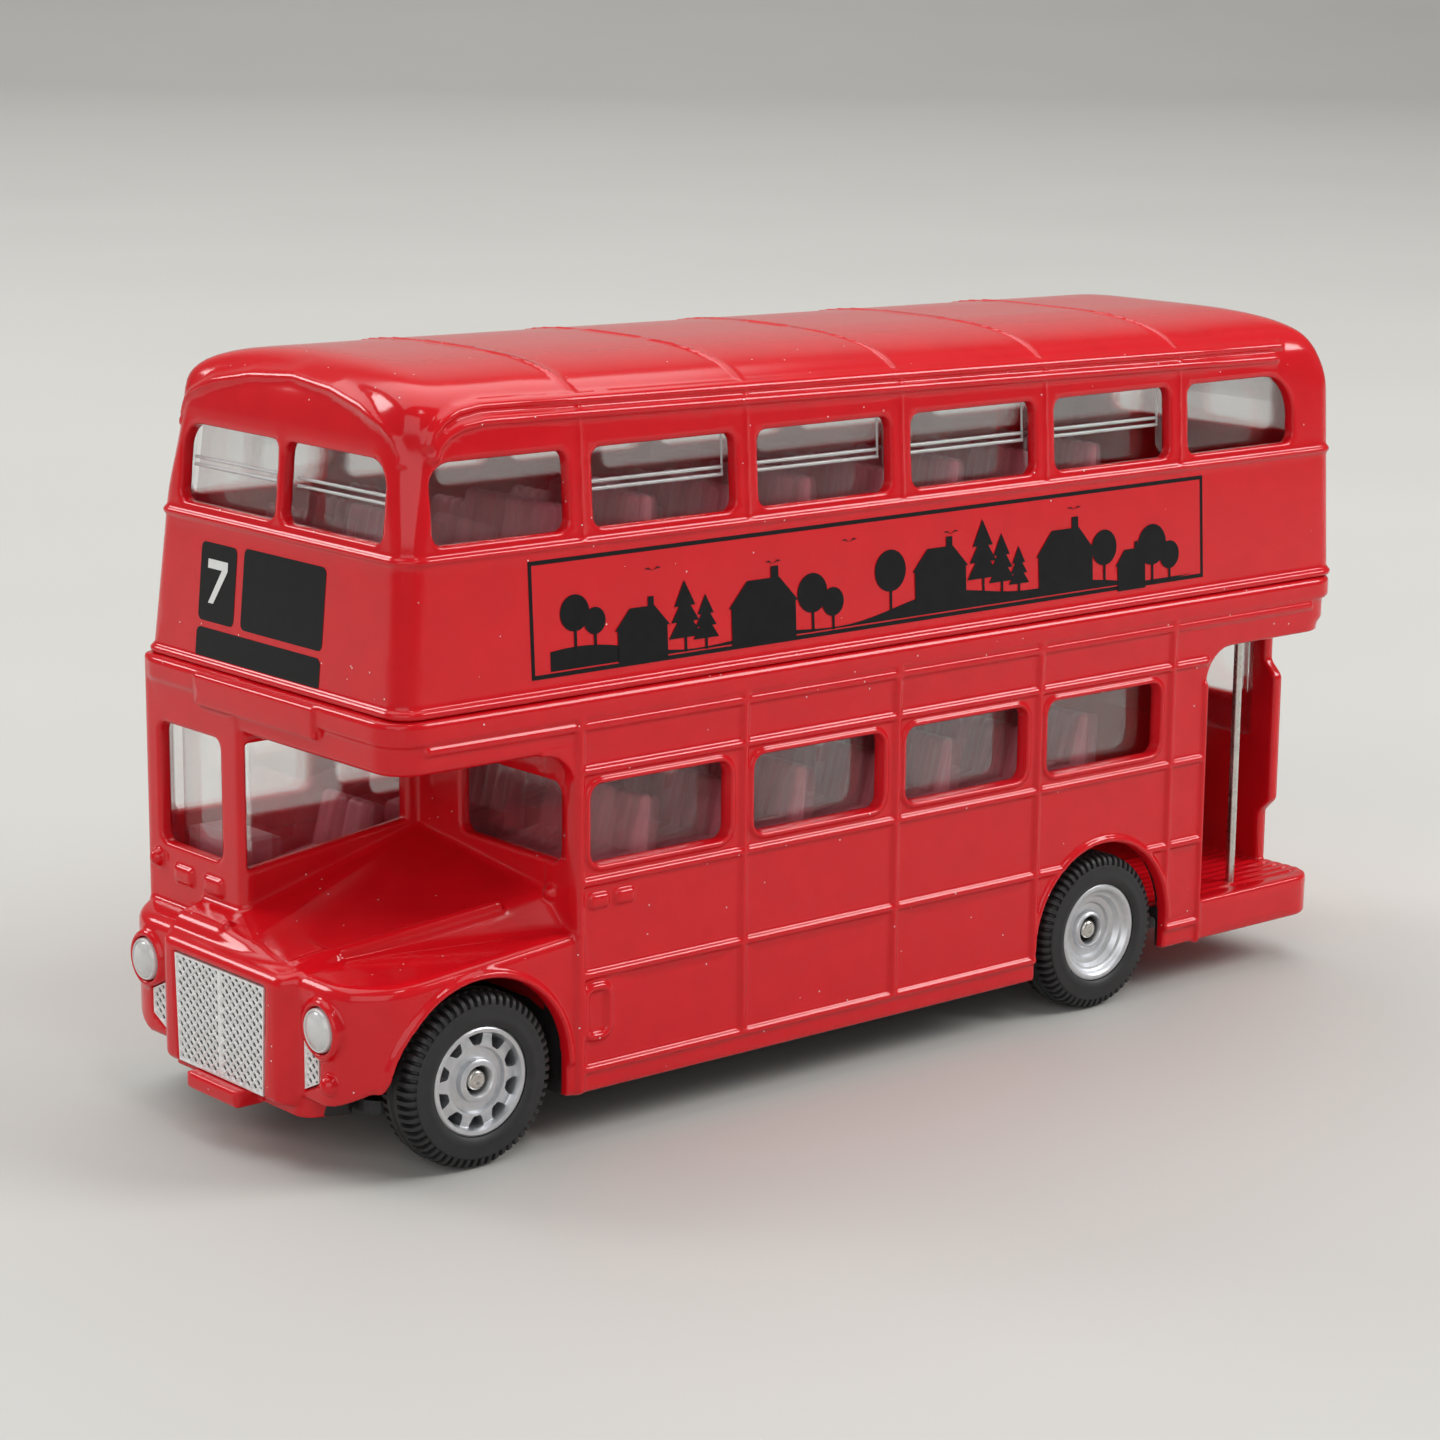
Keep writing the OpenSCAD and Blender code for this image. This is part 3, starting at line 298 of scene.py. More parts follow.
BROW_R, BROW_SOFT, BROW_FADES_Y, BROW_FADE = 0.36, 0.7, (11.5, 16), 0.42
RIB_BEAD_R, RIB_BEAD_SOFT = 0.16, 0.15
TAIL_TRIM = 0.02


def upper_windows():
    """Outlines of the side windows in x and z, each as low corner, high corner and corner radii."""
    half = UPPER_PILLAR / 2
    spans = [(FIRST_WINDOW_X, UPPER_BAY_X[0] - half, (WINDOW_R, FIRST_WINDOW_R, WINDOW_R, WINDOW_R))]
    spans += [(a + half, b - half, WINDOW_R) for a, b in zip(UPPER_BAY_X, UPPER_BAY_X[1:])]
    spans += [(UPPER_BAY_X[-1] + half, LAST_WINDOW_X, (LAST_WINDOW_R, WINDOW_R, WINDOW_R, WINDOW_R))]
    return [((x0, UPPER_SILL_Z), (x1, UPPER_HEAD_Z), radii) for x0, x1, radii in spans]


def bulge(foot, crown, steps, power=DOME_POWER):
    """Points on a quarter of a full-shouldered ellipse, upright at its foot and level at its crown."""
    turn = [math.pi / 2 * i / steps for i in range(steps + 1)]
    return [(crown[0] + (foot[0] - crown[0]) * math.cos(a) ** (2 / power),
             foot[1] + (crown[1] - foot[1]) * math.sin(a) ** (2 / power)) for a in turn]


def mirrored(half):
    """A whole outline from its half that ends on the middle line."""
    return half + [(-u, v) for u, v in half[-2::-1]]


def upper_side():
    """Outline of the upper deck seen from the side, in x and z."""
    foot_x = UPPER_FRONT_X - LEAN_SLOPE * (SEAM_Z - UPPER_BELOW_Z)
    brow_x, rear_z = UPPER_FRONT_X + FRONT_LEAN, ROOF_Z - ROOF_FALL
    front = bulge((brow_x, LEAN_TOP_Z), (brow_x + FRONT_DOME[0], ROOF_Z), DOME_STEPS)
    rear = bulge((UPPER_REAR_X, rear_z - REAR_DOME[1]), (UPPER_REAR_X - REAR_DOME[0], rear_z),
                 DOME_STEPS, REAR_DOME_POWER)
    return [(foot_x, UPPER_BELOW_Z)] + front + rear[::-1] + [(UPPER_REAR_X, UPPER_BELOW_Z)]


def upper_section():
    """Outline of the upper deck seen from the front, in y and z."""
    foot_y = UPPER_Y + TUMBLE_SLOPE * (SEAM_Z - UPPER_BELOW_Z)
    roof = mirrored(bulge((UPPER_Y - TUMBLE, CANT_Z), (0, ROOF_Z), DOME_STEPS))
    return [(foot_y, UPPER_BELOW_Z)] + roof + [(-foot_y, UPPER_BELOW_Z)]


def upper_outside(cast):
    """Distances of the upper deck's outside, without beads; the section sinks towards the rear."""
    _, x, y, z = cast.part(*EVERYWHERE)
    heights = z[0, 0]
    spare = heights[-1] + CELL * np.arange(1, int(ROOF_FALL / CELL) + 3)
    section = polyline(y[0], np.append(heights, spare)[None, :], upper_section())
    body = np.empty_like(cast.d)
    for i, place in enumerate(x[:, 0, 0]):
        drop = max(place - UPPER_FRONT_X, 0) * ROOF_SLOPE / CELL
        step = int(drop)
        share = drop - step
        body[i] = (section[:, step:step + len(heights)] * (1 - share)
                   + section[:, step + 1:step + 1 + len(heights)] * share)
    side = polyline(x, z, upper_side())
    front_r = FRONT_CORNER_R + (HIGH_CORNER_R - FRONT_CORNER_R) * ease(z, *CORNER_GROWS_Z)
    rounded = round_max(side, body, np.where(x < 0, front_r, REAR_CORNER_R))
    high = ease(z, *SHARP_Z)
    outer = rounded * (1 - high) + np.maximum(side, body) * high
    soften(cast, outer, UPPER_LOW[0] - 1, UPPER_FRONT_X + FRONT_BLUR_L)
    soften(cast, outer, UPPER_HIGH[0] + 1, UPPER_REAR_X - REAR_BLUR_L)
    return outer


def soften(cast, outer, end_x, inner_x):
    """Smooths the dome at one end of the roof, fading out towards inner_x and the windows."""
    low_x, high_x = sorted((end_x, inner_x))
    cuts, x, _, z = cast.part((low_x, -OUT_Y, UPPER_SILL_Z - 1.4), (high_x, OUT_Y, FAR))
    share = ease(z, *BLUR_GROWS_Z) * ease(np.abs(x - inner_x), BLUR_START, BLUR_FULL)
    outer[cuts] = outer[cuts] * (1 - share) + blur(outer[cuts], DOME_BLUR / CELL) * share


def blur(values, width):
    """Smooths an array along every axis, like a bell curve of the given width in cells."""
    reach = max(int(round(width)), 1)
    before = np.arange(reach + 1, 0, -1, dtype=np.float32)[:, None, None]
    after = np.arange(1, reach + 1, dtype=np.float32)[:, None, None]
    for axis in range(values.ndim):
        values = np.moveaxis(values, axis, 0)
        for _ in range(3):
            start = values[:1] + (values[:1] - values[1:2]) * before
            end = values[-1:] + (values[-1:] - values[-2:-1]) * after
            total = np.cumsum(np.concatenate([start, values, end]).astype(np.float64), 0)
            values = ((total[2 * reach + 1:] - total[:-2 * reach - 1]) / (2 * reach + 1)).astype(np.float32)
        values = np.moveaxis(values, 0, axis)
    return values


def upper_beads(cast):
    """Lip, sill bead, two gutters on each side, the brow over the front windows and the ribs."""
    low_x, high_x = UPPER_LOW[0] - 1, UPPER_HIGH[0] + 1
    for bead_z, radius in ((LIP_Z, LIP_R), (SILL_BEAD_Z, SILL_BEAD_R)):
        cast.bead((low_x, -OUT_Y, bead_z - 1.5), (high_x, OUT_Y, bead_z + 1.5),
                  lambda x, y, z: z - bead_z, radius)
    for way in (-1, 1):
        low_y, high_y = sorted((way * GUTTER_IN_Y, way * OUT_Y))
        for k, bend in enumerate(GUTTER_BENDS):
            line = [(UPPER_FRONT_X + u, GUTTER_Z + v) for u, v in bend]
            line.append((UPPER_REAR_X - GUTTER_END - k, GUTTER_Z - GUTTER_GAP * k))
            cast.bead((UPPER_LOW[0], low_y, UPPER_HEAD_Z - 2.1), (UPPER_REAR_X - 4, high_y, ROOF_Z - 1.4),
                      lambda x, y, z: polyline(x, z, line, closed=False), GUTTER_R, GUTTER_SOFT)
    brow = mirrored([(u, BROW_Z + v) for u, v in BROW])
    cast.bead((low_x, -OUT_Y, UPPER_HEAD_Z - 0.1), (UPPER_FRONT_X + 9, OUT_Y, ROOF_Z - 0.36),
              lambda x, y, z: (polyline(y, z, brow, closed=False)
                               + BROW_FADE * ease(np.abs(y), *BROW_FADES_Y)), BROW_R, BROW_SOFT)
    for place in UPPER_BAY_X:
        cast.bead((place - 1.5, -OUT_Y, SILL_BEAD_Z), (place + 1.5, OUT_Y, ROOF_Z + 1),
                  lambda x, y, z: x - place + 0 * z, RIB_BEAD_R, RIB_BEAD_SOFT)


def upper_openings(cast):
    """Cuts the side, front and rear windows of the upper deck."""
    for low, high, radii in upper_windows():
        cast.cut_side(corners(low, high, radii), -OUT_Y, OUT_Y, WINDOW_SOFT)
    for way in (-1, 1):
        low, high = sorted((way * FRONT_PILLAR / 2, way * FRONT_PANE_Y))
        tops = (FRONT_PANE_R, WINDOW_R) if way > 0 else (WINDOW_R, FRONT_PANE_R)
        pane = corners((low, UPPER_SILL_Z), (high, UPPER_HEAD_Z + 0.1), tops + (WINDOW_R, WINDOW_R))
        cast.cut_end(pane, UPPER_LOW[0] - 1, UPPER_FRONT_X + 6, WINDOW_SOFT)
    back = corners((-BACK_PANE_Y, UPPER_SILL_Z), (BACK_PANE_Y, UPPER_HEAD_Z - 0.1), WINDOW_R)
    cast.cut_end(back, UPPER_REAR_X - 7, UPPER_HIGH[0] + 1, WINDOW_SOFT)


def upper_casting():
    """Upper deck: a hollow shell with its beads and windows, open at the seam."""
    cast = Casting((UPPER_LOW[0] - MARGIN, -BODY_Y - MARGIN, SEAM_Z - 2.4),
                   (UPPER_HIGH[0] + MARGIN, BODY_Y + MARGIN, ROOF_Z + MARGIN))
    cast.d = upper_outside(cast)
    cast.keep_skin()
    upper_beads(cast)
    cast.d = np.maximum(cast.d, -(cast.skin + WALL))
    upper_openings(cast)
    cast.cut(EVERYWHERE[0], (FAR, FAR, SEAM_Z + 0.6), lambda x, y, z: z - SEAM_Z + 0 * x, 0.3)
    cast.cut((UPPER_REAR_X - 1, -FAR, SEAM_Z), (FAR, FAR, ROOF_Z),
             lambda x, y, z: UPPER_HIGH[0] - TAIL_TRIM - x + 0 * z)
    return cast


# Lower casting
CANOPY_Z, BAND_Z = SEAM_Z - 4.7, SEAM_Z - 2.2
DECK_Z, DECK_T = SEAM_Z - 1.9, 1.2
LOWER_SILL_Z, LOWER_HEAD_Z = SKIRT_Z + 20.2, SKIRT_Z + 27.1
CAB_X, CAB_Y, CAB_FOOT_Z = NOSE_X + 5.8, 3.3, SKIRT_Z + 9
CAB_SILL_Z, CAB_HEAD_Z = LOWER_SILL_Z - 1.9, CANOPY_Z - 1.1
HOUSING_X, HOUSING_Y = NOSE_X + 1.0, BODY_Y - 10
HOUSING_FOOT_Z, HOUSING_TOP_Z, HOUSING_SLOPE = SKIRT_Z + 1.0, SKIRT_Z + 12.1, 0.3
WING_X = HOUSING_X + 1.4
WING_TOP_Z, WING_SLOPE, WING_CORNER_R, WING_EDGE_R = SKIRT_Z + 12.5, 0.09, 6.2, 1.1
WING_FOOT_Z, WING_FOOT_Y, WING_FOOT_W, WING_FOOT_RISE = SKIRT_Z + 1.8, BODY_Y - 6.8, 6.5, 3.3
BONNET_X, BONNET_Z, BONNET_SLOPE, BONNET_TILT = NOSE_X + 4, SKIRT_Z + 13.7, 0.27, 0.116
CREST_Y, CREST_SPREAD, CREST_R = 8, 0.36, 0.6
FLANK_SLOPE, FLANK_REACH = 1.2, (-1, 2.4)
NOSE_BACK_X = BULKHEAD_X + 0.6
NOSE_BOX = ((NOSE_X - 1, -OUT_Y, 0), (BULKHEAD_X + 2, OUT_Y, SKIRT_Z + 22.5))
ARCH_R, WELL_Y = TYRE_R + 1.25, BODY_Y - 5.95
LAMP_Y, LAMP_Z, LAMP_R, LAMP_ROOM = BODY_Y - 6.4, SKIRT_Z + 8.7, 1.9, 4
GRILLE = [(-6.6, SKIRT_Z + 1.4), (6.6, SKIRT_Z + 1.4), (7.0, SKIRT_Z + 11), (-7.0, SKIRT_Z + 11)]
WING_GRILLE = [(10.9, SKIRT_Z + 2.9), (13.0, SKIRT_Z + 3.9), (13.0, SKIRT_Z + 6.1), (10.9, SKIRT_Z + 7.1)]
GRILLE_T, WING_GRILLE_T, INSERT_GAP = 1.0, 0.7, 0.12
TAIL_R, FRONT_R = 3.4, 3.2
SALOON = corners((BULKHEAD_X, -PANEL_Y), (REAR_X, PANEL_Y), (TAIL_R, 0.5, 0.5, TAIL_R))
FASCIA = corners((CAB_X, -PANEL_Y), (TAIL_X - 0.3, PANEL_Y), (TAIL_R, FRONT_R, FRONT_R, TAIL_R))
BAND = corners((CAB_X - BEAD_H, -BODY_Y), (TAIL_X, BODY_Y), FRONT_R)
CAB = corners((CAB_X, CAB_Y), (BULKHEAD_X + 2, PANEL_Y), (0.3, 1.3, 0.9, 0.3))
HOUSING = corners((HOUSING_X, -HOUSING_Y), (CAB_X + 1, HOUSING_Y), (0.3, 1.9, 1.9, 0.3))


def wings(x, y, z):
    """Distance from the two front wings."""
    across = np.abs(y)
    top = z - WING_TOP_Z - WING_SLOPE * (x - WING_X)
    wing = round_max(round_max(across - PANEL_Y, WING_X - x, WING_CORNER_R), top, WING_EDGE_R)
    rise = WING_FOOT_RISE * np.clip((across - WING_FOOT_Y) / WING_FOOT_W, 0, 1) ** 1.5
    lift = np.maximum(rise, 0.8 * np.clip(x - WING_X, 0, 3))
    foot = np.where(x < FRONT_AXLE_X, WING_FOOT_Z + lift, SKIRT_Z)
    return np.maximum(round_max(wing, foot - z, 0.5), x - NOSE_BACK_X)


def bonnet(x, y, z):
    """Distance from the bonnet with the crest along its nearside edge."""
    along = x - BONNET_X
    ridge = BONNET_Z + BONNET_SLOPE * along + BONNET_TILT * np.minimum(y, 3)
    edge = y + CREST_Y + CREST_SPREAD * along
    flank = -edge - FLANK_SLOPE * np.clip(ridge - z, *FLANK_REACH)
    shape = soft_max((z - ridge) * 0.96, flank / math.hypot(1, FLANK_SLOPE), 0.4)
    shape = round_max(shape, WING_X + 0.1 - x, 1.0)
    inner = np.where(x > CAB_X + 0.3, CAB_Y + 0.5, HOUSING_Y - 0.5)
    shape = np.maximum(np.maximum(shape, y - inner), np.maximum(x - NOSE_BACK_X, SKIRT_Z - z))
    crest = np.hypot(edge + 0.1, z - ridge + 0.15) - CREST_R
    crest = np.maximum(crest, np.maximum(WING_X + 1.2 - x, x - BULKHEAD_X + 4))
    return soft_min(shape, crest, 0.35)


def nose(x, y, z):
    """Distance from the two wings, the bonnet and the grille housing."""
    top = z - HOUSING_TOP_Z - HOUSING_SLOPE * (x - HOUSING_X)
    housing = round_max(polyline(x, y, HOUSING), np.maximum(HOUSING_FOOT_Z - z, top * 0.96), 0.7)
    return soft_min(soft_min(wings(x, y, z), bonnet(x, y, z), 0.5), housing, 0.5)


def side_lines():
    """The raised lines on a side panel, in x and z."""
    foot_z, middle_z, waist_z = SKIRT_Z + 2.1, SKIRT_Z + 10.5, SKIRT_Z + 18.7
    front, rear = BULKHEAD_X + 0.3, PLATFORM_X - 0.3
    lines = [[(front, z), (rear, z)] for z in (foot_z, middle_z, waist_z, LOWER_HEAD_Z + 1.3)]
    lines += [[(CAB_X + FRONT_R, SEAM_Z - 2.7), (REAR_X - TAIL_R, SEAM_Z - 2.7)]]
    lines += [[(x + 0.3, foot_z), (x + 0.3, BAND_Z)] for x in BAY_X]
    lines += [[(rear, SKIRT_Z), (rear, PLATFORM_HEAD_Z - 3.5)], [(front, SKIRT_Z + 0.5), (front, waist_z)]]
    lines += [arc(x, AXLE_Z, ARCH_R + 0.35, 0, 180, 24) for x in (FRONT_AXLE_X, REAR_AXLE_X)]
    half = PILLAR / 2 - 0.3
    rims = [corners((a + half, LOWER_SILL_Z - 0.3), (b - half, LOWER_HEAD_Z + 0.3), 1.6)
            for a, b in zip(BAY_X, BAY_X[1:])]
    rims += [corners((BULKHEAD_X + 0.9, SKIRT_Z + 4.9), (BULKHEAD_X + 3.5, SKIRT_Z + 9.3), 0.9)]
    return lines + [rim + rim[:1] for rim in rims]


def lower_solids(cast):
    """Saloon, fascia, band and cab as upright prisms, the nose, and the beads on their sides."""
    for outline, foot, edge, blend in ((SALOON, SKIRT_Z, 0.4, 0), (FASCIA, CANOPY_Z, 0.7, 0.3),
                                       (BAND, BAND_Z, 0.5, 0.3), (CAB, CAB_FOOT_Z, 0.3, 0.3)):
        cast.add(*EVERYWHERE, lambda x, y, z: round_max(
            polyline(x, y, outline), slab(z, foot, SEAM_Z), edge), blend)
    cast.add(*NOSE_BOX, nose, 0.6)
    cast.keep_skin()
    lines = side_lines()
    for way in (-1, 1):
        y0, y1 = sorted((way * (BODY_Y - 4.5), way * OUT_Y))
        cast.bead((CAB_X - 2, y0, 0), (FAR, y1, SEAM_Z), lambda x, y, z: np.minimum.reduce(
            [polyline(x, z, line, closed=False) for line in lines]), BEAD_H - 0.01)


def lower_fittings(cast):
    """Plate block, lamp bezels, canopy panel, small lamps and caps, cab vents and bonnet handles."""
    cast.add_block((NOSE_X, -4, SKIRT_Z - 0.3), (WING_X + 1, 4, SKIRT_Z + 1.6), 0.4, 0.3)
    for way in (-1, 1):
        y0, y1 = sorted((way * (LAMP_Y - LAMP_ROOM), way * (LAMP_Y + LAMP_ROOM)))
        cast.add((NOSE_X, y0, LAMP_Z - LAMP_ROOM), (WING_X + 4, y1, LAMP_Z + LAMP_ROOM),
                 lambda x, y, z: round_max(np.hypot(y - way * LAMP_Y, z - LAMP_Z) - LAMP_R - 0.7,
                                           slab(x, WING_X - 0.5, WING_X + 2), 0.4), 0.4)
    cast.add_block((CAB_X - 0.62, -8.8, SEAM_Z - 3.1), (CAB_X + 2, 9.9, SEAM_Z - 0.3), 0.3, 0.1)
    nubs = (((WING_X + 0.1, -14.6, SKIRT_Z + 4.1), 0.95), ((CAB_X - 0.1, 17.0, SKIRT_Z + 16.7), 0.8),
            ((NOSE_X + 3.6, 2.5, BONNET_Z + 0.1), 0.6), ((BULKHEAD_X, -16.1, SKIRT_Z + 17.3), 0.7))
    for (a, b, c), radius in nubs:
        cast.add((a - ROOM, b - ROOM, c - ROOM), (a + ROOM, b + ROOM, c + ROOM),
                 lambda x, y, z: np.sqrt((x - a) ** 2 + (y - b) ** 2 + (z - c) ** 2) - radius, 0.3)
    for y0 in (6.4, 11.2):
        cast.add_block((CAB_X - 0.4, y0, SKIRT_Z + 15.1), (CAB_X + 1, y0 + 3, SKIRT_Z + 16.7), 0.4, 0.25)
    for x0 in (BULKHEAD_X + 1.3, BULKHEAD_X + 4.1):
        cast.add_block((x0, -BODY_Y, SKIRT_Z + 16.3), (x0 + 2.1, -PANEL_Y + 1, SKIRT_Z + 17.6), 0.36, 0.2)


def lower_hollow(cast):
    """Cuts the rooms inside the walls, the space for the base plate and the wheel wells."""
    cast.cut(*EVERYWHERE, lambda x, y, z: polyline(x, y, SALOON) + WALL)
    cast.cut(*EVERYWHERE, lambda x, y, z: np.maximum(polyline(x, y, FASCIA) + WALL, DECK_Z - z), 0.3)
    cast.cut(*EVERYWHERE, lambda x, y, z: np.maximum(polyline(x, y, CAB) + WALL, z - CANOPY_Z))
    cast.cut(*NOSE_BOX, lambda x, y, z: nose(x, y, z) + WALL)
    rooms = (((BULKHEAD_X - 1, CAB_Y + WALL, 0), (BULKHEAD_X + 3, PANEL_Y - WALL, CANOPY_Z)),
             ((WING_X + 4.3, -WELL_Y - 0.4, -9), (PLATFORM_X + 1.6, WELL_Y + 0.4, SKIRT_Z + 1.5)),
             ((BULKHEAD_X + WALL, 1.6 - BODY_Y, -9), (REAR_AXLE_X - ARCH_R, BODY_Y - 1.6, SKIRT_Z + 1.5)))
    for low, high in rooms:
        cast.cut(*EVERYWHERE, lambda x, y, z: block(x, y, z, low, high, 0.1))
    for axle_x in (FRONT_AXLE_X, REAR_AXLE_X):
        cast.cut((axle_x - 12, -OUT_Y, 0), (axle_x + 12, OUT_Y, AXLE_Z + 12), lambda x, y, z: np.maximum(
            np.where(z < AXLE_Z, np.abs(x - axle_x), np.hypot(x - axle_x, z - AXLE_Z)) - ARCH_R,
            WELL_Y - np.abs(y)), 0.3)


def lower_openings(cast):
    """Cuts the windows of the saloon, the cab, the bulkhead and the back."""
    for a, b in zip(BAY_X, BAY_X[1:]):
        window = corners((a + PILLAR / 2, LOWER_SILL_Z), (b - PILLAR / 2, LOWER_HEAD_Z), WINDOW_R)
        cast.cut_side(window, -OUT_Y, OUT_Y, 0.45)
    cast.cut_end(corners((6.7, CAB_SILL_Z), (16.6, CAB_HEAD_Z), WINDOW_R), CAB_X - 2, CAB_X + 3, 0.4)
    cab_rear = BULKHEAD_X - 1.5
    inner = [(CAB_X + 0.8, CAB_SILL_Z), (cab_rear, CAB_SILL_Z + 2), (cab_rear, CAB_HEAD_Z),
             (CAB_X + 0.8, CAB_HEAD_Z)]
    cast.cut_side(inner, CAB_Y - 3, CAB_Y + 4, 0.4, grow=0.1)
    outer = corners((CAB_X + 2.7, LOWER_SILL_Z), (cab_rear, CAB_HEAD_Z), WINDOW_R)
    cast.cut_side(outer, BODY_Y - 5, OUT_Y, 0.4)
    front = corners((-17.4, LOWER_SILL_Z), (-PILLAR, LOWER_HEAD_Z), WINDOW_R)
    cast.cut_end(front, BULKHEAD_X - 2, BULKHEAD_X + 3, 0.4)
    back = corners((-9.3, LOWER_SILL_Z + 1), (3, LOWER_HEAD_Z + 1), WINDOW_R)
    cast.cut_end(back, REAR_X - 4, TAIL_X + 1, 0.4)


def platform_opening(cast):
    """Cuts the platform's opening on the nearside and round the rear corner."""
    doorway = corners((PLATFORM_X, PLATFORM_Z), (TAIL_X + 9, PLATFORM_HEAD_Z), (0.3, 3.5, 0.3, 0.3))

    def opening(x, y, z):
        waist = (ease(z, PLATFORM_Z + 4.9, PLATFORM_Z + 6.9)
                 - ease(z, PLATFORM_HEAD_Z - 6, PLATFORM_HEAD_Z - 4))
        edge = y + BODY_Y - 7.7 + 1.4 * waist
        side = np.maximum(polyline(x, z, doorway), y + PANEL_Y - 2.3)
        corner = np.maximum(np.maximum(edge, REAR_X - TAIL_R - x), slab(z, PLATFORM_Z, PLATFORM_HEAD_Z))
        return np.minimum(np.maximum(side, x - REAR_X + WALL), corner)

    cast.cut((PLATFORM_X - 3, -OUT_Y, PLATFORM_Z - 3.6), (FAR, -8, PLATFORM_HEAD_Z + 2), opening, 0.4)


def canopy_gusset(cast):
    """A curved gusset between the bulkhead and the canopy on the nearside."""
    reach = 3.5
    x0, z0 = BULKHEAD_X - reach, CANOPY_Z - reach
    cast.add((x0 - 1.5, -OUT_Y, z0 - 1.5), (BULKHEAD_X + 2, 4 - BODY_Y, CANOPY_Z + 2),
             lambda x, y, z: np.maximum(
                 np.maximum(slab(x, x0, BULKHEAD_X + 0.5) + 0 * z, slab(z, z0, CANOPY_Z + 0.5)),
                 np.maximum(reach - np.hypot(x - x0, z - z0), slab(y, -PANEL_Y, WALL - PANEL_Y))), 0.3)


def insert_pockets(cast):
    """Cuts the pockets of the radiator mesh, the wing meshes and the lamps."""
    low_z, high_z = SKIRT_Z, SKIRT_Z + 12.5
    cast.cut((NOSE_X, -9, low_z), (WING_X + 1, 9, high_z), lambda x, y, z: np.maximum(
        polyline(y, z, GRILLE) - INSERT_GAP, x - HOUSING_X - GRILLE_T), 0.2)
    for way in (-1, 1):
        y0, y1 = sorted((way * 9.5, way * 17))
        cast.cut((NOSE_X, y0, low_z + 5), (WING_X + 3, y1, high_z), lambda x, y, z: np.maximum(
            np.hypot(y - way * LAMP_Y, z - LAMP_Z) - LAMP_R - INSERT_GAP, x - WING_X - 0.2), 0.2)
        cast.cut((NOSE_X, y0, low_z), (WING_X + 3, y1, high_z - 4), lambda x, y, z: np.maximum(
            polyline(way * y, z, WING_GRILLE) - INSERT_GAP, x - WING_X - WING_GRILLE_T), 0.2)


def lower_floors(cast):
    """Adds the decks over the cab and the platform, the platform's floor and two screw bosses."""
    for x0, x1 in ((NOSE_X, BULKHEAD_X + WALL), (PLATFORM_X, TAIL_X)):
        cast.add(*EVERYWHERE, lambda x, y, z: np.maximum(
            polyline(x, y, FASCIA) + 0.6, np.maximum(slab(z, DECK_Z - DECK_T, DECK_Z), slab(x, x0, x1))))

    def floor(x, y, z):
        tread = 0.16 * np.clip(np.cos(2 * math.pi * y / 1.3), -0.5, 0.5) * (y < -3)
        plate = slab(z, PLATFORM_Z - 1.3, PLATFORM_Z - 0.1 + tread)
        return np.maximum(round_max(polyline(x, y, SALOON), plate, 0.5), PLATFORM_X - 5 - x)

    cast.add((PLATFORM_X - 7, -OUT_Y, PLATFORM_Z - 3.6), (FAR, OUT_Y, PLATFORM_Z + 2.4), floor, 0.2)
    for place, top in ((WING_X + 6.9, SKIRT_Z + 12), (PLATFORM_X - 2.4, SKIRT_Z + 7.8)):
        cast.add((place - 3, -3, SKIRT_Z), (place + 3, 3, top + ROOM), lambda x, y, z: np.maximum(
            np.hypot(x - place, y) - 2, slab(z, SKIRT_Z + 2.5, top)))


def lower_casting():
    """Lower deck: saloon, cab, canopy, nose and platform, trimmed to the widest beads."""
    cast = Casting((NOSE_X - 0.7, -BODY_Y - MARGIN, SKIRT_Z - 1.3),
                   (TAIL_X + MARGIN, BODY_Y + MARGIN, SEAM_Z + MARGIN))
    for step in (lower_solids, lower_fittings, lower_hollow, lower_openings, platform_opening,
                 canopy_gusset, insert_pockets, lower_floors):
        step(cast)
    cast.cut(*EVERYWHERE, lambda x, y, z: BODY_Y - np.abs(y) + 0 * x * z)
    cast.cut(*EVERYWHERE, lambda x, y, z: TAIL_X - x + 0 * y * z)
    return cast


# Materials
DUST_R, DUST_COLOUR = 0.065, (0.75, 0.7, 0.68, 1)


def feed(mat, target, inputs):
    """Sets the inputs of a shader node, or links them where a socket is given."""
    for key, value in inputs.items():
        if isinstance(value, bpy.types.NodeSocket):
            mat.node_tree.links.new(value, target.inputs[key])
        else:
            target.inputs[key].default_value = value
    return target


def add_node(mat, kind, inputs, **settings):
    """A new shader node with its settings made and its inputs fed."""
    made = mat.node_tree.nodes.new("ShaderNode" + kind)
    for key, value in settings.items():
        setattr(made, key, value)
    return feed(mat, made, inputs)


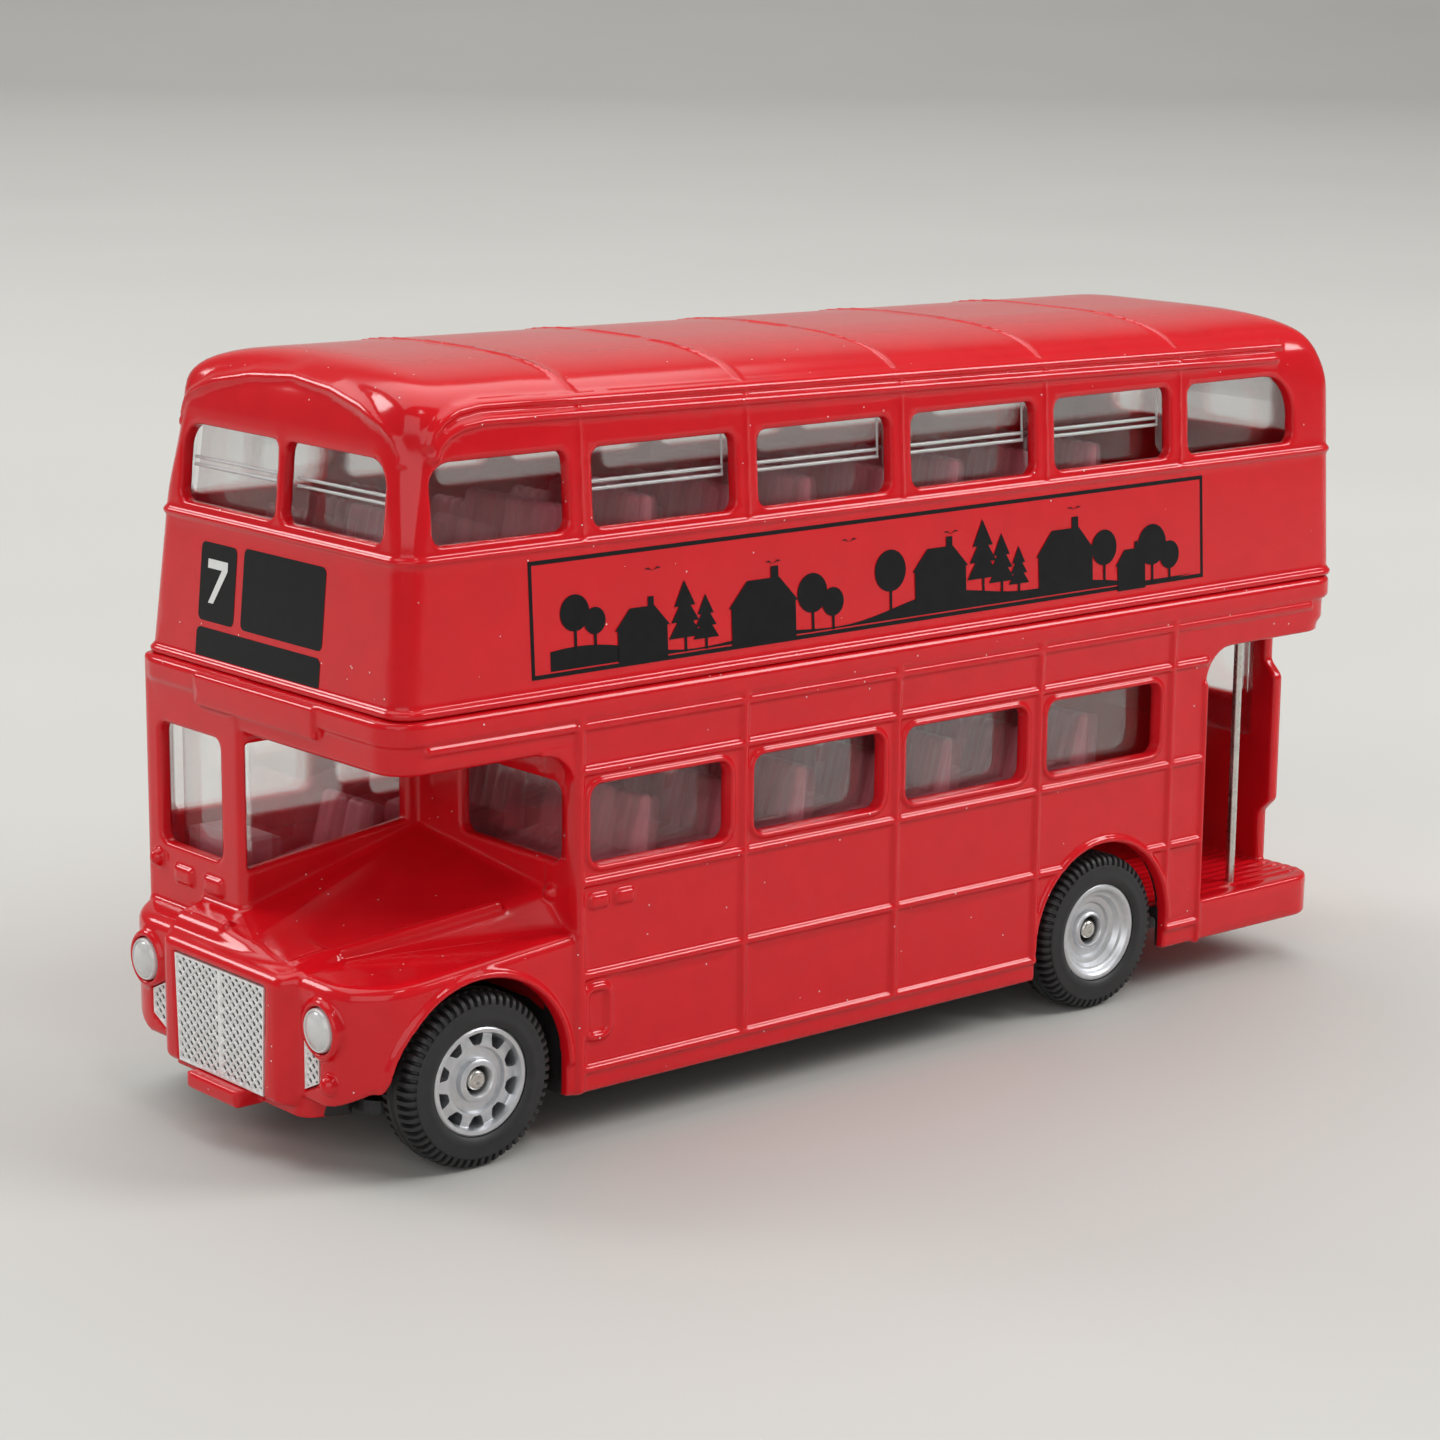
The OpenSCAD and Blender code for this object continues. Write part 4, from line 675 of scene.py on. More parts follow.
def material(name, colour, rough, metal=0.0, mottle=0.08, grain=900.0, bump=0.0, **more):
    """A procedural finish whose colour and roughness vary a little with noise."""
    mat = bpy.data.materials.new(name)
    mat.use_nodes = True
    shader = mat.node_tree.nodes["Principled BSDF"]
    place = add_node(mat, "TexCoord", {}).outputs["Object"]
    noise = add_node(mat, "TexNoise", {"Vector": place, "Scale": grain, "Detail": 3}).outputs["Fac"]
    ramp = add_node(mat, "ValToRGB", {"Fac": noise})
    for stop, at, share in zip(ramp.color_ramp.elements, (0.3, 0.7), (1 - mottle, 1 + mottle)):
        stop.color = [min(c * share, 1) for c in colour] + [1]
        stop.position = at
    gloss = add_node(mat, "MapRange", {"Value": noise, "To Min": rough * 0.85, "To Max": rough * 1.15})
    feed(mat, shader, {"Base Color": ramp.outputs["Color"], "Roughness": gloss.outputs["Result"],
                       "Metallic": metal})
    feed(mat, shader, {key.replace("_", " "): value for key, value in more.items()})
    if bump:
        fine = add_node(mat, "Bump", {"Strength": bump, "Distance": 0.0001, "Height": noise})
        feed(mat, shader, {"Normal": fine.outputs["Normal"]})
    return mat


def add_dust(mat, size, share):
    """Pale specks of dust, scattered over a finish."""
    nodes = mat.node_tree.nodes
    shader = nodes["Principled BSDF"]
    base = shader.inputs["Base Color"].links[0].from_socket
    place = next(n for n in nodes if n.type == "TEX_COORD").outputs["Object"]
    cells = add_node(mat, "TexVoronoi", {"Vector": place, "Scale": size})
    chance = add_node(mat, "SeparateColor", {"Color": cells.outputs["Color"]}).outputs["Red"]
    near = add_node(mat, "Math", {0: cells.outputs["Distance"], 1: DUST_R}, operation="LESS_THAN")
    few = add_node(mat, "Math", {0: chance, 1: share}, operation="LESS_THAN")
    speck = add_node(mat, "Math", {0: near.outputs[0], 1: few.outputs[0]}, operation="MULTIPLY")
    mix = add_node(mat, "Mix", {}, data_type="RGBA")
    feed(mat, mix, {"Factor": speck.outputs[0], "A": base, "B": DUST_COLOUR})
    feed(mat, shader, {"Base Color": mix.outputs["Result"]})


RED = material("red_paint", (0.63, 0.006, 0.012), 0.13, mottle=0.04, grain=300, bump=0.02,
               Specular_IOR_Level=0.38)
add_dust(RED, 900, 0.2)
CLEAR = material("clear_plastic", (0.985, 0.99, 0.99), 0.04, mottle=0.01, grain=60,
                 Transmission_Weight=1.0, IOR=1.46, Alpha=0.4)
RAIL = material("rail_plastic", (0.86, 0.87, 0.87), 0.12, mottle=0.03, grain=80,
                Transmission_Weight=0.6, IOR=1.46)
# A near-black finish that paints the shade inside the wheel wells.
WELL_SHADE = material("painted_well_shade", (0.02, 0.017, 0.017), 0.6, mottle=0.2, grain=700)
# A dark finish that paints the shade in hub slots, axle holes and between the wires of the grille meshes.
PAINTED_SHADE = material("painted_recess_shade", (0.05, 0.05, 0.05), 0.5, mottle=0.2)
SEAT = material("seat_plastic", (0.62, 0.17, 0.21), 0.35, mottle=0.1, grain=500, bump=0.05)
BASE = material("base_plastic", (0.012, 0.012, 0.014), 0.45, mottle=0.2, grain=700, bump=0.1)
RUBBER = material("tyre_rubber", (0.016, 0.016, 0.017), 0.55, mottle=0.2, bump=0.12)
add_dust(RUBBER, 600, 0.05)
STEEL = material("steel", (0.62, 0.6, 0.56), 0.28, metal=1.0, mottle=0.1, grain=1500, bump=0.05)
HUB = material("hub_metal", (0.66, 0.67, 0.69), 0.44, metal=1.0, mottle=0.06, grain=1800, bump=0.08)
SILVER = material("silver_insert", (0.86, 0.86, 0.85), 0.36, metal=0.35, grain=1500, bump=0.08)
LENS = material("lamp_lens", (0.62, 0.62, 0.61), 0.25, metal=0.1, mottle=0.05, bump=0.04, Coat_Weight=0.6)
INK = material("black_print", (0.009, 0.009, 0.01), 0.35, mottle=0.15, grain=800, Specular_IOR_Level=0.15)
PALE_INK = material("white_print", (0.75, 0.75, 0.73), 0.4, mottle=0.03, grain=800)


def dress(obj, mat, body="bus", replaced=(), second=None):
    """Gives a piece its finish and the body it rides on."""
    if obj.data.materials:
        obj.data.materials.clear()
    for finish in filter(None, (mat, second)):
        obj.data.materials.append(finish)
    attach(obj, body)
    if replaced:
        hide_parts(*replaced)
    return obj


def paint_well_shade(data):
    """Paints shade inside the wheel wells: casting faces there take a near-black finish, behind the red lip.
    """
    data.materials.append(WELL_SHADE)
    centre = np.empty((len(data.polygons), 3), np.float32)
    normal = np.empty((len(data.polygons), 3), np.float32)
    data.polygons.foreach_get("center", centre.ravel())
    data.polygons.foreach_get("normal", normal.ravel())
    x, y, z = centre.T / MM
    dark = np.zeros(len(x), bool)
    for axle_x in (FRONT_AXLE_X, REAR_AXLE_X):
        away_x, away_z = x - axle_x, z - AXLE_Z
        away = np.hypot(away_x, away_z)
        reach = np.where(z < AXLE_Z, np.abs(away_x), away)
        facing = -(away_x * normal[:, 0] + away_z * normal[:, 2]) > 0.2 * away
        outward = (normal[:, 1] * np.sign(y) > 0.5) & (np.abs(y) < WELL_Y + 0.4)
        near = (reach < ARCH_R + 1.2) & (z < AXLE_Z + ARCH_R + 0.5)
        dark |= near & (np.abs(y) < PANEL_Y - 0.9) & (facing | outward)
    data.polygons.foreach_set("material_index", dark.astype(np.int32))
    data.update()


dress(upper_casting().mesh("upper_deck_casting"), RED, replaced=["upper_body"])
lower_deck = dress(lower_casting().mesh("lower_deck_casting"), RED, replaced=["lower_body"])
# Paints shade on the casting inside the wheel wells.
paint_well_shade(lower_deck.data)


# Pieces made as plain meshes
class Pile:
    """Points and faces of several shapes that become one mesh."""

    def __init__(self):
        self.points, self.faces = [], []

    def put(self, points, faces):
        """Adds a shape; its faces count from its own first point."""
        start = len(self.points)
        self.points += points
        self.faces += [[i + start for i in face] for face in faces]

    def box(self, low, high):
        """Adds a plain box."""
        (x0, y0, z0), (x1, y1, z1) = low, high
        self.loft([[(x, y0, z0), (x, y1, z0), (x, y1, z1), (x, y0, z1)] for x in (x0, x1)])

    def loft(self, rows):
        """Adds a skin over rings of points that all have the same count, closed at both ends."""
        n, last = len(rows[0]), len(rows) - 1
        faces = [(i * n + j, i * n + (j + 1) % n, (i + 1) * n + (j + 1) % n, (i + 1) * n + j)
                 for i in range(last) for j in range(n)]
        faces += [tuple(range(n)), tuple(range(last * n, last * n + n))]
        self.put([p for row in rows for p in row], faces)

    def mesh(self, name, smooth=True):
        """The mesh object, from points in millimetres."""
        data = bpy.data.meshes.new(name)
        data.from_pydata([(x * MM, y * MM, z * MM) for x, y, z in self.points], [], self.faces)
        data.validate()
        shape = bmesh.new()
        shape.from_mesh(data)
        bmesh.ops.recalc_face_normals(shape, faces=shape.faces)
        shape.to_mesh(data)
        shape.free()
        if smooth:
            data.polygons.foreach_set("use_smooth", [True] * len(data.polygons))
            data.set_sharp_from_angle(angle=math.radians(40))
        return new_object(name, data)


# Seats
SEAT_IN_Y, SEAT_OUT_Y, UPPER_SEAT_Y = 2.2, BODY_Y - 4.4, UPPER_Y - 1.32
SEAT_FLOOR_Z = 2 * TYRE_R + 1.4
RIB_PITCH, RIB_H, RIB_STEPS, RIB_END = 1.5, 0.24, 6, 0.35
BACK_R, BACK_STEPS = 0.72, 6


def bench(pile, x, z, height, drop, y0, y1):
    """One bench facing the front, its cushion and back scalloped across its width.

    Each point of its outline has its place in x and z and the way that the scallops push it.
    """
    top, cushion = z + height, z + height - drop
    outline = [(x + 1.5, z, 0, 0), (x - 4.6, z, 0, 0), (x - 4.6, cushion - 1.3, -0.5, 0),
               (x - 4.3, cushion - 0.6, -0.5, 0.7), (x - 2.2, cushion - 0.2, 0, 1),
               (x - 0.1, cushion + 0.1, -0.5, 0.7)]
    outline += [(x + 1.75 + BACK_R * u, top - 0.75 + BACK_R * v, u, v)
                for u, v in arc(0, 0, 1, 165, 5, BACK_STEPS)]
    steps = max(round((y1 - y0) / RIB_PITCH), 1) * RIB_STEPS
    rows = []
    for step in range(steps + 1):
        y = y0 + (y1 - y0) * step / steps
        lift = RIB_H * (abs(math.sin(math.pi * step / RIB_STEPS)) - 1)
        if step in (0, steps):
            lift -= RIB_END
        rows.append([(u + n * lift, y, v + m * lift) for u, v, n, m in outline])
    pile.loft(rows)


def seats():
    """Both seat mouldings."""
    upper, lower = Pile(), Pile()
    upper.box((UPPER_FRONT_X + 9.6, -UPPER_SEAT_Y, DECK_Z),
              (UPPER_REAR_X - 9.6, UPPER_SEAT_Y, DECK_Z + DECK_T))
    floor, top, cab_in = SEAT_FLOOR_Z, SEAT_FLOOR_Z + DECK_T, CAB_Y + 5.3
    lower.box((BULKHEAD_X + 2.8, -SEAT_OUT_Y, floor), (PLATFORM_X - WALL, SEAT_OUT_Y, top))
    lower.box((CAB_X + 3.4, cab_in, floor), (BULKHEAD_X + 3.8, SEAT_OUT_Y, top))
    lower.box((CAB_X + 3.4, cab_in, floor), (CAB_X + 6.4, SEAT_OUT_Y, floor + 7.2))
    for way in (-1, 1):
        y0, y1 = sorted((way * (WELL_Y - 0.4), way * (WELL_Y - 1.9)))
        lower.box((FRONT_AXLE_X + ARCH_R + 6, y0, SKIRT_Z + 1.4), (REAR_AXLE_X - ARCH_R - 6, y1, floor + 0.6))
        y0, y1 = sorted((way * SEAT_IN_Y, way * SEAT_OUT_Y))
        for k in range(2 * BAYS):
            place = BULKHEAD_X + k * BAY_PITCH / 2
            bench(upper, place, DECK_Z, 17.5 if way < 0 else 13.9, 7, y0, y1)
            if k:
                bench(lower, place, floor, 12, 5, y0, y1)
    bench(lower, BULKHEAD_X - 3.4, floor, 8.6, 5, cab_in, SEAT_OUT_Y)
    dress(upper.mesh("upper_seat_moulding"), SEAT, replaced=["upper_deck_seats"])
    dress(lower.mesh("lower_seat_moulding"), SEAT, replaced=["lower_deck_seats"])


# Wheels, their profiles in radius and depth from the tyre's face
WHEEL_Y = BODY_Y - 0.35
TYRE_W, TYRE_STEPS = 4.8, 9
LUGS, LUG_SHARE, LUG_DEPTH, LUG_FROM_R, LUG_W = 58, 0.4, 0.42, 7, 1.6
HUB_SLOTS, SLOT_R, SLOT_DEPTH = 10, (3.15, 4.08), 2.4
# Depths from the tyre's face between which hub faces take painted shade.
HUB_SHADE_DEPTHS = (2.2, 3.9)
TYRE_HALF = [(4.81, 0.3), (5.0, 0.12), (5.3, 0.06), (5.55, 0.0), (5.7, 0.06), (6.2, 0.04), (6.6, 0.1),
             (6.68, 0.22), (7.05, 0.3), (7.35, 0.48), (7.52, 0.76), (7.6, 1.15), (7.64, 1.5), (7.64, 1.56),
             (TYRE_R, 1.7), (TYRE_R, 2.1), (7.55, 2.16), (7.5, 2.3)]
HUB_BACK = [(4.6, 0.3), (4.76, 0.4), (4.8, 0.7), (4.8, 4.5), (4.1, 4.5), (4.1, 4.0), (2.2, 4.0),
            (1.9, 4.2), (1.9, 5.2), (0.92, 5.2)]
FRONT_DISH = [(0.92, 3.2), (1.28, 3.1), (1.29, 2.25), (1.3, 0.62), (1.4, 0.5), (1.7, 0.5), (1.88, 0.62),
              (1.95, 1.2), (2.3, 1.32), (2.75, 1.28), (2.9, 0.9), (3.1, 0.84), (3.2, 0.85), (3.35, 0.88),
              (3.5, 0.92), (3.7, 0.97), (4.0, 1.03), (4.07, 1.03), (4.1, 1.0), (4.16, 0.7), (4.3, 0.36)]
REAR_DISH = [(0.92, 3.2), (1.36, 3.1), (1.38, 2.25), (1.4, 1.5), (1.5, 1.38), (1.65, 1.4), (1.85, 1.6),
             (1.95, 1.95), (2.3, 2.05), (2.6, 1.95), (2.75, 1.65), (3.0, 1.55), (3.3, 1.5), (3.45, 1.25),
             (3.6, 1.0), (3.8, 0.95), (3.95, 0.85), (4.05, 0.6), (4.2, 0.4), (4.35, 0.32)]
AXLE_TIP = [(0.01, 0.12), (0.3, 0.08), (0.45, 0.0), (0.7, 0.05), (0.86, 0.2), (0.9, 0.4)]


def turned(name, axle_x, way, profile, steps, change=None):
    """A closed profile turned round an axle; change moves single points.

    Faces deep in a recess take the piece's second finish; on a hub it is painted shade in the slots and the
    axle hole.
    """
    pile, points, deep, faces, n = Pile(), [], [], [], len(profile)
    for i in range(steps):
        angle = 2 * math.pi * i / steps
        for radius, depth in profile:
            if change:
                radius, depth = change(angle, radius, depth)
            deep.append(HUB_SHADE_DEPTHS[0] < depth < HUB_SHADE_DEPTHS[1])
            points.append((axle_x + radius * math.cos(angle), way * (WHEEL_Y - depth),
                           AXLE_Z + radius * math.sin(angle)))
        for j in range(n):
            k, m = (j + 1) % n, (i + 1) % steps
            faces.append((i * n + j, i * n + k, m * n + k, m * n + j))
    pile.put(points, faces)
    obj = pile.mesh(name)
    obj.data.polygons.foreach_set("material_index", [int(all(deep[p] for p in face)) for face in faces])
    return obj


def lug(angle, radius, depth):
    """Cuts the shoulder lugs of a tyre."""
    shoulder = min(depth, TYRE_W - depth)
    if radius > LUG_FROM_R and 0.05 < shoulder < LUG_W and (angle * LUGS / (2 * math.pi)) % 1 < LUG_SHARE:
        return radius - LUG_DEPTH, depth + math.copysign(0.12, TYRE_W / 2 - depth)
    return radius, depth


def slotted(angle, radius, depth):
    """Cuts the round of slots of a front hub, wider towards the rim."""
    turn = (angle * HUB_SLOTS / (2 * math.pi)) % 1 - 0.5
    low, high = SLOT_R
    half_width = 0.25 + 0.48 * min(max(radius - low, 0) / (high - low), 1) ** 0.6
    if low < radius < high and depth < 2 and abs(turn) * 2 * math.pi / HUB_SLOTS * radius < half_width:
        return radius, depth + SLOT_DEPTH
    return radius, depth


def wheels():
    """Two axles, with a tyre and a hub at each end."""
    tyre = TYRE_HALF + [(r, TYRE_W - d) for r, d in TYRE_HALF[::-1]]
    for axle, axle_x, dish, cut, end in (("front", FRONT_AXLE_X, FRONT_DISH, slotted, 0.75),
                                         ("rear", REAR_AXLE_X, REAR_DISH, None, 1.5)):
        body = f"{axle}_wheelset"
        tip = [(r, end + d) for r, d in AXLE_TIP]
        line = tip + [(r, 2 * WHEEL_Y - d) for r, d in tip[::-1]]
        dress(turned(f"{axle}_wheel_axle", axle_x, -1, line, 48), STEEL, body, [f"{axle}_axle"])
        for side, way in (("left", -1), ("right", 1)):
            label = f"{axle}_{side}"
            rubber = turned(f"{label}_wheel_tyre", axle_x, way, tyre, LUGS * TYRE_STEPS, lug)
            dress(rubber, RUBBER, body, [f"{label}_tyre"])
            hub = turned(f"{label}_wheel_hub", axle_x, way, dish + HUB_BACK, 360 if cut else 120, cut)
            # The hub's second finish paints shade in its slots and axle hole.
            dress(hub, HUB, body, [f"{label}_hub"], PAINTED_SHADE)


# Inserts on the nose
MESH_PITCH, MESH_RISE, MESH_STEP, MESH_RELIEF = 1.05, 0.92, 0.06, 0.17
WIRE_FROM, WIRE_SLOPE = 0.89, 0.06
LAMP_STEPS = 64


def mesh_rise(y, z):
    """Share of the relief that the crossing wires have at a place on a mesh."""
    ridge = max(abs(math.sin(math.pi * (y / MESH_PITCH + way * z / MESH_RISE))) for way in (-1, 1))
    return min(max(ridge - WIRE_FROM, 0) / WIRE_SLOPE, 1)


def mesh_panel(name, outline, front_x, depth, bar):
    """A silver insert with a raised diamond mesh on its face, inside an outline in y and z; faces sunk behind
    the wires are marked for a second finish of painted shade.
    """
    width, height = np.max(outline, axis=0) - np.min(outline, axis=0)
    ny, nz = int(width / MESH_STEP), int(height / MESH_STEP)
    a, b, c, d = map(Vector, outline)
    rows = []
    for v in (i / nz for i in range(nz + 1)):
        ring = []
        for u in (j / ny for j in range(ny + 1)):
            y, z = a.lerp(b, u).lerp(d.lerp(c, u), v)
            edge = min(min(u, 1 - u) * width, min(v, 1 - v) * height)
            share = 1.15 if abs(y) < bar or edge < bar else mesh_rise(y, z)
            ring.append((front_x + MESH_RELIEF * (1.3 - share), y, z))
        rows.append(ring + [(front_x + depth, y, z) for _, y, z in (ring[-1], ring[0])])
    pile = Pile()
    pile.loft(rows)
    obj = pile.mesh(name)
    back = front_x + MESH_RELIEF * 0.9
    # Faces sunk behind the wires take the second finish, painted shade.
    low = [int(min(pile.points[i][0] for i in face) > back) for face in pile.faces]
    obj.data.polygons.foreach_set("material_index", low)
    return obj


def lamp_lens(name, way):
    """A headlamp: a domed lens in a thin rim, with its stem behind."""
    profile = [(0.0, -0.95), (0.5, -0.93), (1.0, -0.84), (1.35, -0.72), (1.55, -0.6), (1.62, -0.52),
               (1.66, -0.6), (1.78, -0.62), (1.86, -0.52), (LAMP_R, -0.35), (LAMP_R, 0.2), (1.0, 0.2),
               (1.0, 1.95), (0.0, 1.95)]
    pile = Pile()
    rings = [arc(way * LAMP_Y, LAMP_Z, max(r, 0.01), 0, 360, LAMP_STEPS)[:-1] for r, _ in profile]
    pile.loft([[(WING_X + depth, y, z) for y, z in ring] for ring, (_, depth) in zip(rings, profile)])
    return pile.mesh(name)


def nose_inserts():
    """Radiator grille, wing grilles and headlamps."""
    # The meshes' second finish paints shade between their wires.
    radiator = mesh_panel("radiator_mesh", GRILLE, HOUSING_X, GRILLE_T, 0.22)
    dress(radiator, SILVER, replaced=["radiator_grille"], second=PAINTED_SHADE)
    for side, way in (("left", -1), ("right", 1)):
        outline = [(way * y, z) for y, z in WING_GRILLE]
        wing = mesh_panel(f"wing_mesh_{side}", outline, WING_X, WING_GRILLE_T, 0.14)
        dress(wing, SILVER, replaced=[f"wing_grille_{side}"], second=PAINTED_SHADE)
        dress(lamp_lens(f"lamp_lens_{side}", way), LENS, replaced=[f"headlamp_{side}"])


# Prints, their places in x or y and in height over the seam
PRINT_H, LAYER_H = 0.03, 0.0004
PICTURE_X, PICTURE_Z, PICTURE_LINE = (BULKHEAD_X - 4.6, BAY_X[BAYS] + 4.4), (1.9, 11.8), 0.36
HILL_STEPS = 60
TREES = ((-36.5, 4.6, True), (-34.4, 3.4, True), (-24.6, 6.2, False), (-22.3, 4.8, False), (-10.0, 5.2, True),
         (-7.6, 3.8, True), (-0.6, 5.6, True), (11.0, 6.8, False), (13.4, 5.6, False), (15.6, 4.4, False),
         (27.0, 5.0, True), (33.6, 5.8, True), (36.0, 4.0, True))
COTTAGES = ((-32.0, 5.4, 4.0), (-19.4, 7.4, 5.0), (2.4, 6.4, 4.4), (18.2, 7.2, 5.2), (28.8, 3.8, 3.4))
BIRDS = ((-28.0, 9.7), (-14.5, 8.9), (-5.5, 9.9), (7.0, 9.4), (23.0, 10.1))
FIR_TIERS = ((0.2, 0.3, 0.62), (0.42, 0.25, 0.8), (0.64, 0.19, 1.0))
BLINDS = (((5.6, 4.1), (11.2, 10.9)), ((-7.9, 4.1), (4.5, 11.1)), ((-7.8, 0.7), (11.3, 3.5)))
SEVEN = [(10.0, 9.5), (6.9, 9.5), (6.9, 8.7), (8.9, 5.7), (9.7, 5.7), (7.8, 8.7), (10.0, 8.7)]


def side_y(x, z):
    """How far out the leaning side of the upper deck is."""
    return UPPER_Y - TUMBLE_SLOPE * (z + ROOF_SLOPE * (x - UPPER_FRONT_X) - SEAM_Z)


def front_x(z):
    """Where the leaning front of the upper deck is."""
    return UPPER_FRONT_X + LEAN_SLOPE * (z - SEAM_Z)


def flat_print(name, outlines, finish):
    """Ink shapes as one thin piece, from outlines that lie on the bus."""
    pile = Pile()
    for points in outlines:
        pile.put(points, [tuple(range(len(points)))])
    return dress(pile.mesh(name, smooth=False), finish)


def tree(x, z, height, round_crown):
    """A tree: a trunk with a round crown, or a fir of three tiers."""
    trunk = [(x - 0.15, z), (x + 0.15, z), (x + 0.15, z + height * 0.5), (x - 0.15, z + height * 0.5)]
    if round_crown:
        return [trunk, arc(x, z + height * 0.66, height * 0.34, 0, 360, 20)[:-1]]
    tiers = [[height * share for share in tier] for tier in FIR_TIERS]
    return [trunk] + [[(x - w, z + low), (x + w, z + low), (x, z + top)] for low, w, top in tiers]


def cottage(x, z, width, height):
    """A cottage with a pitched roof and a chimney."""
    eaves, ridge, low, high = (z + height * share for share in (0.55, 1, 0.8, 1.2))
    left, right = x + width * 0.62, x + width * 0.74
    return [[(x, z - 0.5), (x + width, z - 0.5), (x + width, eaves), (x + width + 0.3, eaves),
             (x + width * 0.75, ridge), (x + width * 0.25, ridge), (x - 0.3, eaves), (x, eaves)],
            [(left, low), (right, low), (right, high), (left, high)]]


def countryside():
    """A frame line round a low skyline of hills, trees and cottages."""
    (x0, x1), (z0, z1), line = PICTURE_X, PICTURE_Z, PICTURE_LINE
    shapes = [[(x0, z), (x1, z), (x1, z + line), (x0, z + line)] for z in (z0, z1 - line)]
    shapes += [[(x, z0), (x + line, z0), (x + line, z1), (x, z1)] for x in (x0, x1 - line)]

    def ground(x):
        return z0 + 1.3 + 0.7 * math.sin(x * 0.13 + 0.4) + 0.4 * math.sin(x * 0.31)

    steps = [x0 + 2 + i * (x1 - x0 - 4) / HILL_STEPS for i in range(HILL_STEPS + 1)]
    for a, b in zip(steps, steps[1:]):
        shapes.append([(a, z0 + 0.5), (b, z0 + 0.5), (b, ground(b)), (a, ground(a))])
    for x, height, crown in TREES:
        shapes += tree(x, ground(x) - 0.2, height, crown)
    for x, width, height in COTTAGES:
        shapes += cottage(x, min(ground(x), ground(x + width)), width, height)
    for x, z in BIRDS:
        shapes += [[(x, z), (x + half, z + 0.35), (x + 1.9 * half, z + 0.2), (x + half, z + 0.2)]
                   for half in (-0.5, 0.5)]
    return [[(x, z + SEAM_Z) for x, z in outline] for outline in shapes]


def prints():
    """The skyline on both sides and the blinds with a plain number on the front."""
    for side, way in (("left", -1), ("right", 1)):
        flat_print(f"skyline_print_{side}", [
            [(x, way * (side_y(x, z) + PRINT_H + LAYER_H * layer), z) for x, z in outline]
            for layer, outline in enumerate(countryside())], INK)
    for name, outlines, finish, lift in (
            ("blind_print", [corners(low, high, 0.6) for low, high in BLINDS], INK, PRINT_H),
            ("route_number_print", [SEVEN], PALE_INK, 2 * PRINT_H)):
        flat_print(name, [[(front_x(z + SEAM_Z) - lift, y, z + SEAM_Z) for y, z in outline]
                          for outline in outlines], finish)


# Rails across the windows
RAIL_STEPS = 10


def rod(pile, start, end, radius):
    """A round rod between two points."""
    a, b = Vector(start), Vector(end)
    way = (b - a).normalized()
    side = way.cross(Vector((0, 0, 1) if abs(way.z) < 0.9 else (1, 0, 0))).normalized()
    up = way.cross(side)
    ring = arc(0, 0, radius, 0, 360, RAIL_STEPS)[:-1]
    pile.loft([[tuple(p + side * u + up * v) for u, v in ring] for p in (a, b)])


def window_rails():
    """The moulded lines of the opening lights, half way up the upper windows."""
    pile = Pile()
    middle = (UPPER_SILL_Z + UPPER_HEAD_Z) / 2
    low, high = middle - 0.3, middle + 0.35
    for way in (-1, 1):
        def face(x, z):
            return way * (side_y(x, z) - WALL - 0.05)

        for (x0, _), (x1, _), _ in upper_windows()[1:5]:
            end = x1 - 0.5
            for z in (low, high):
                rod(pile, (x0, face(x0, z), z), (end, face(x1, z), z), 0.17)
            rod(pile, (end, face(x1, middle), low), (end, face(x1, UPPER_HEAD_Z), UPPER_HEAD_Z), 0.1)
        for z in (low, high):
            x = front_x(z) + WALL + 0.1
            rod(pile, (x, way * 0.9, z), (x, way * 15.2, z), 0.15)
    dress(pile.mesh("window_rails"), RAIL)


seats()
window_rails()
wheels()
nose_inserts()
prints()

KEPT = {"upper_glazing": (CLEAR, "clear_window"), "lower_glazing": (CLEAR, "clear_window"),
        "base_plate": (BASE, "base_plastic"), "grab_pole": (STEEL, "steel"),
        "assembly_screws": (STEEL, "steel")}
for name, (finish, slot) in KEPT.items():
    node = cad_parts[name]
    node.data.materials.clear()
    node.data.materials.append(finish)


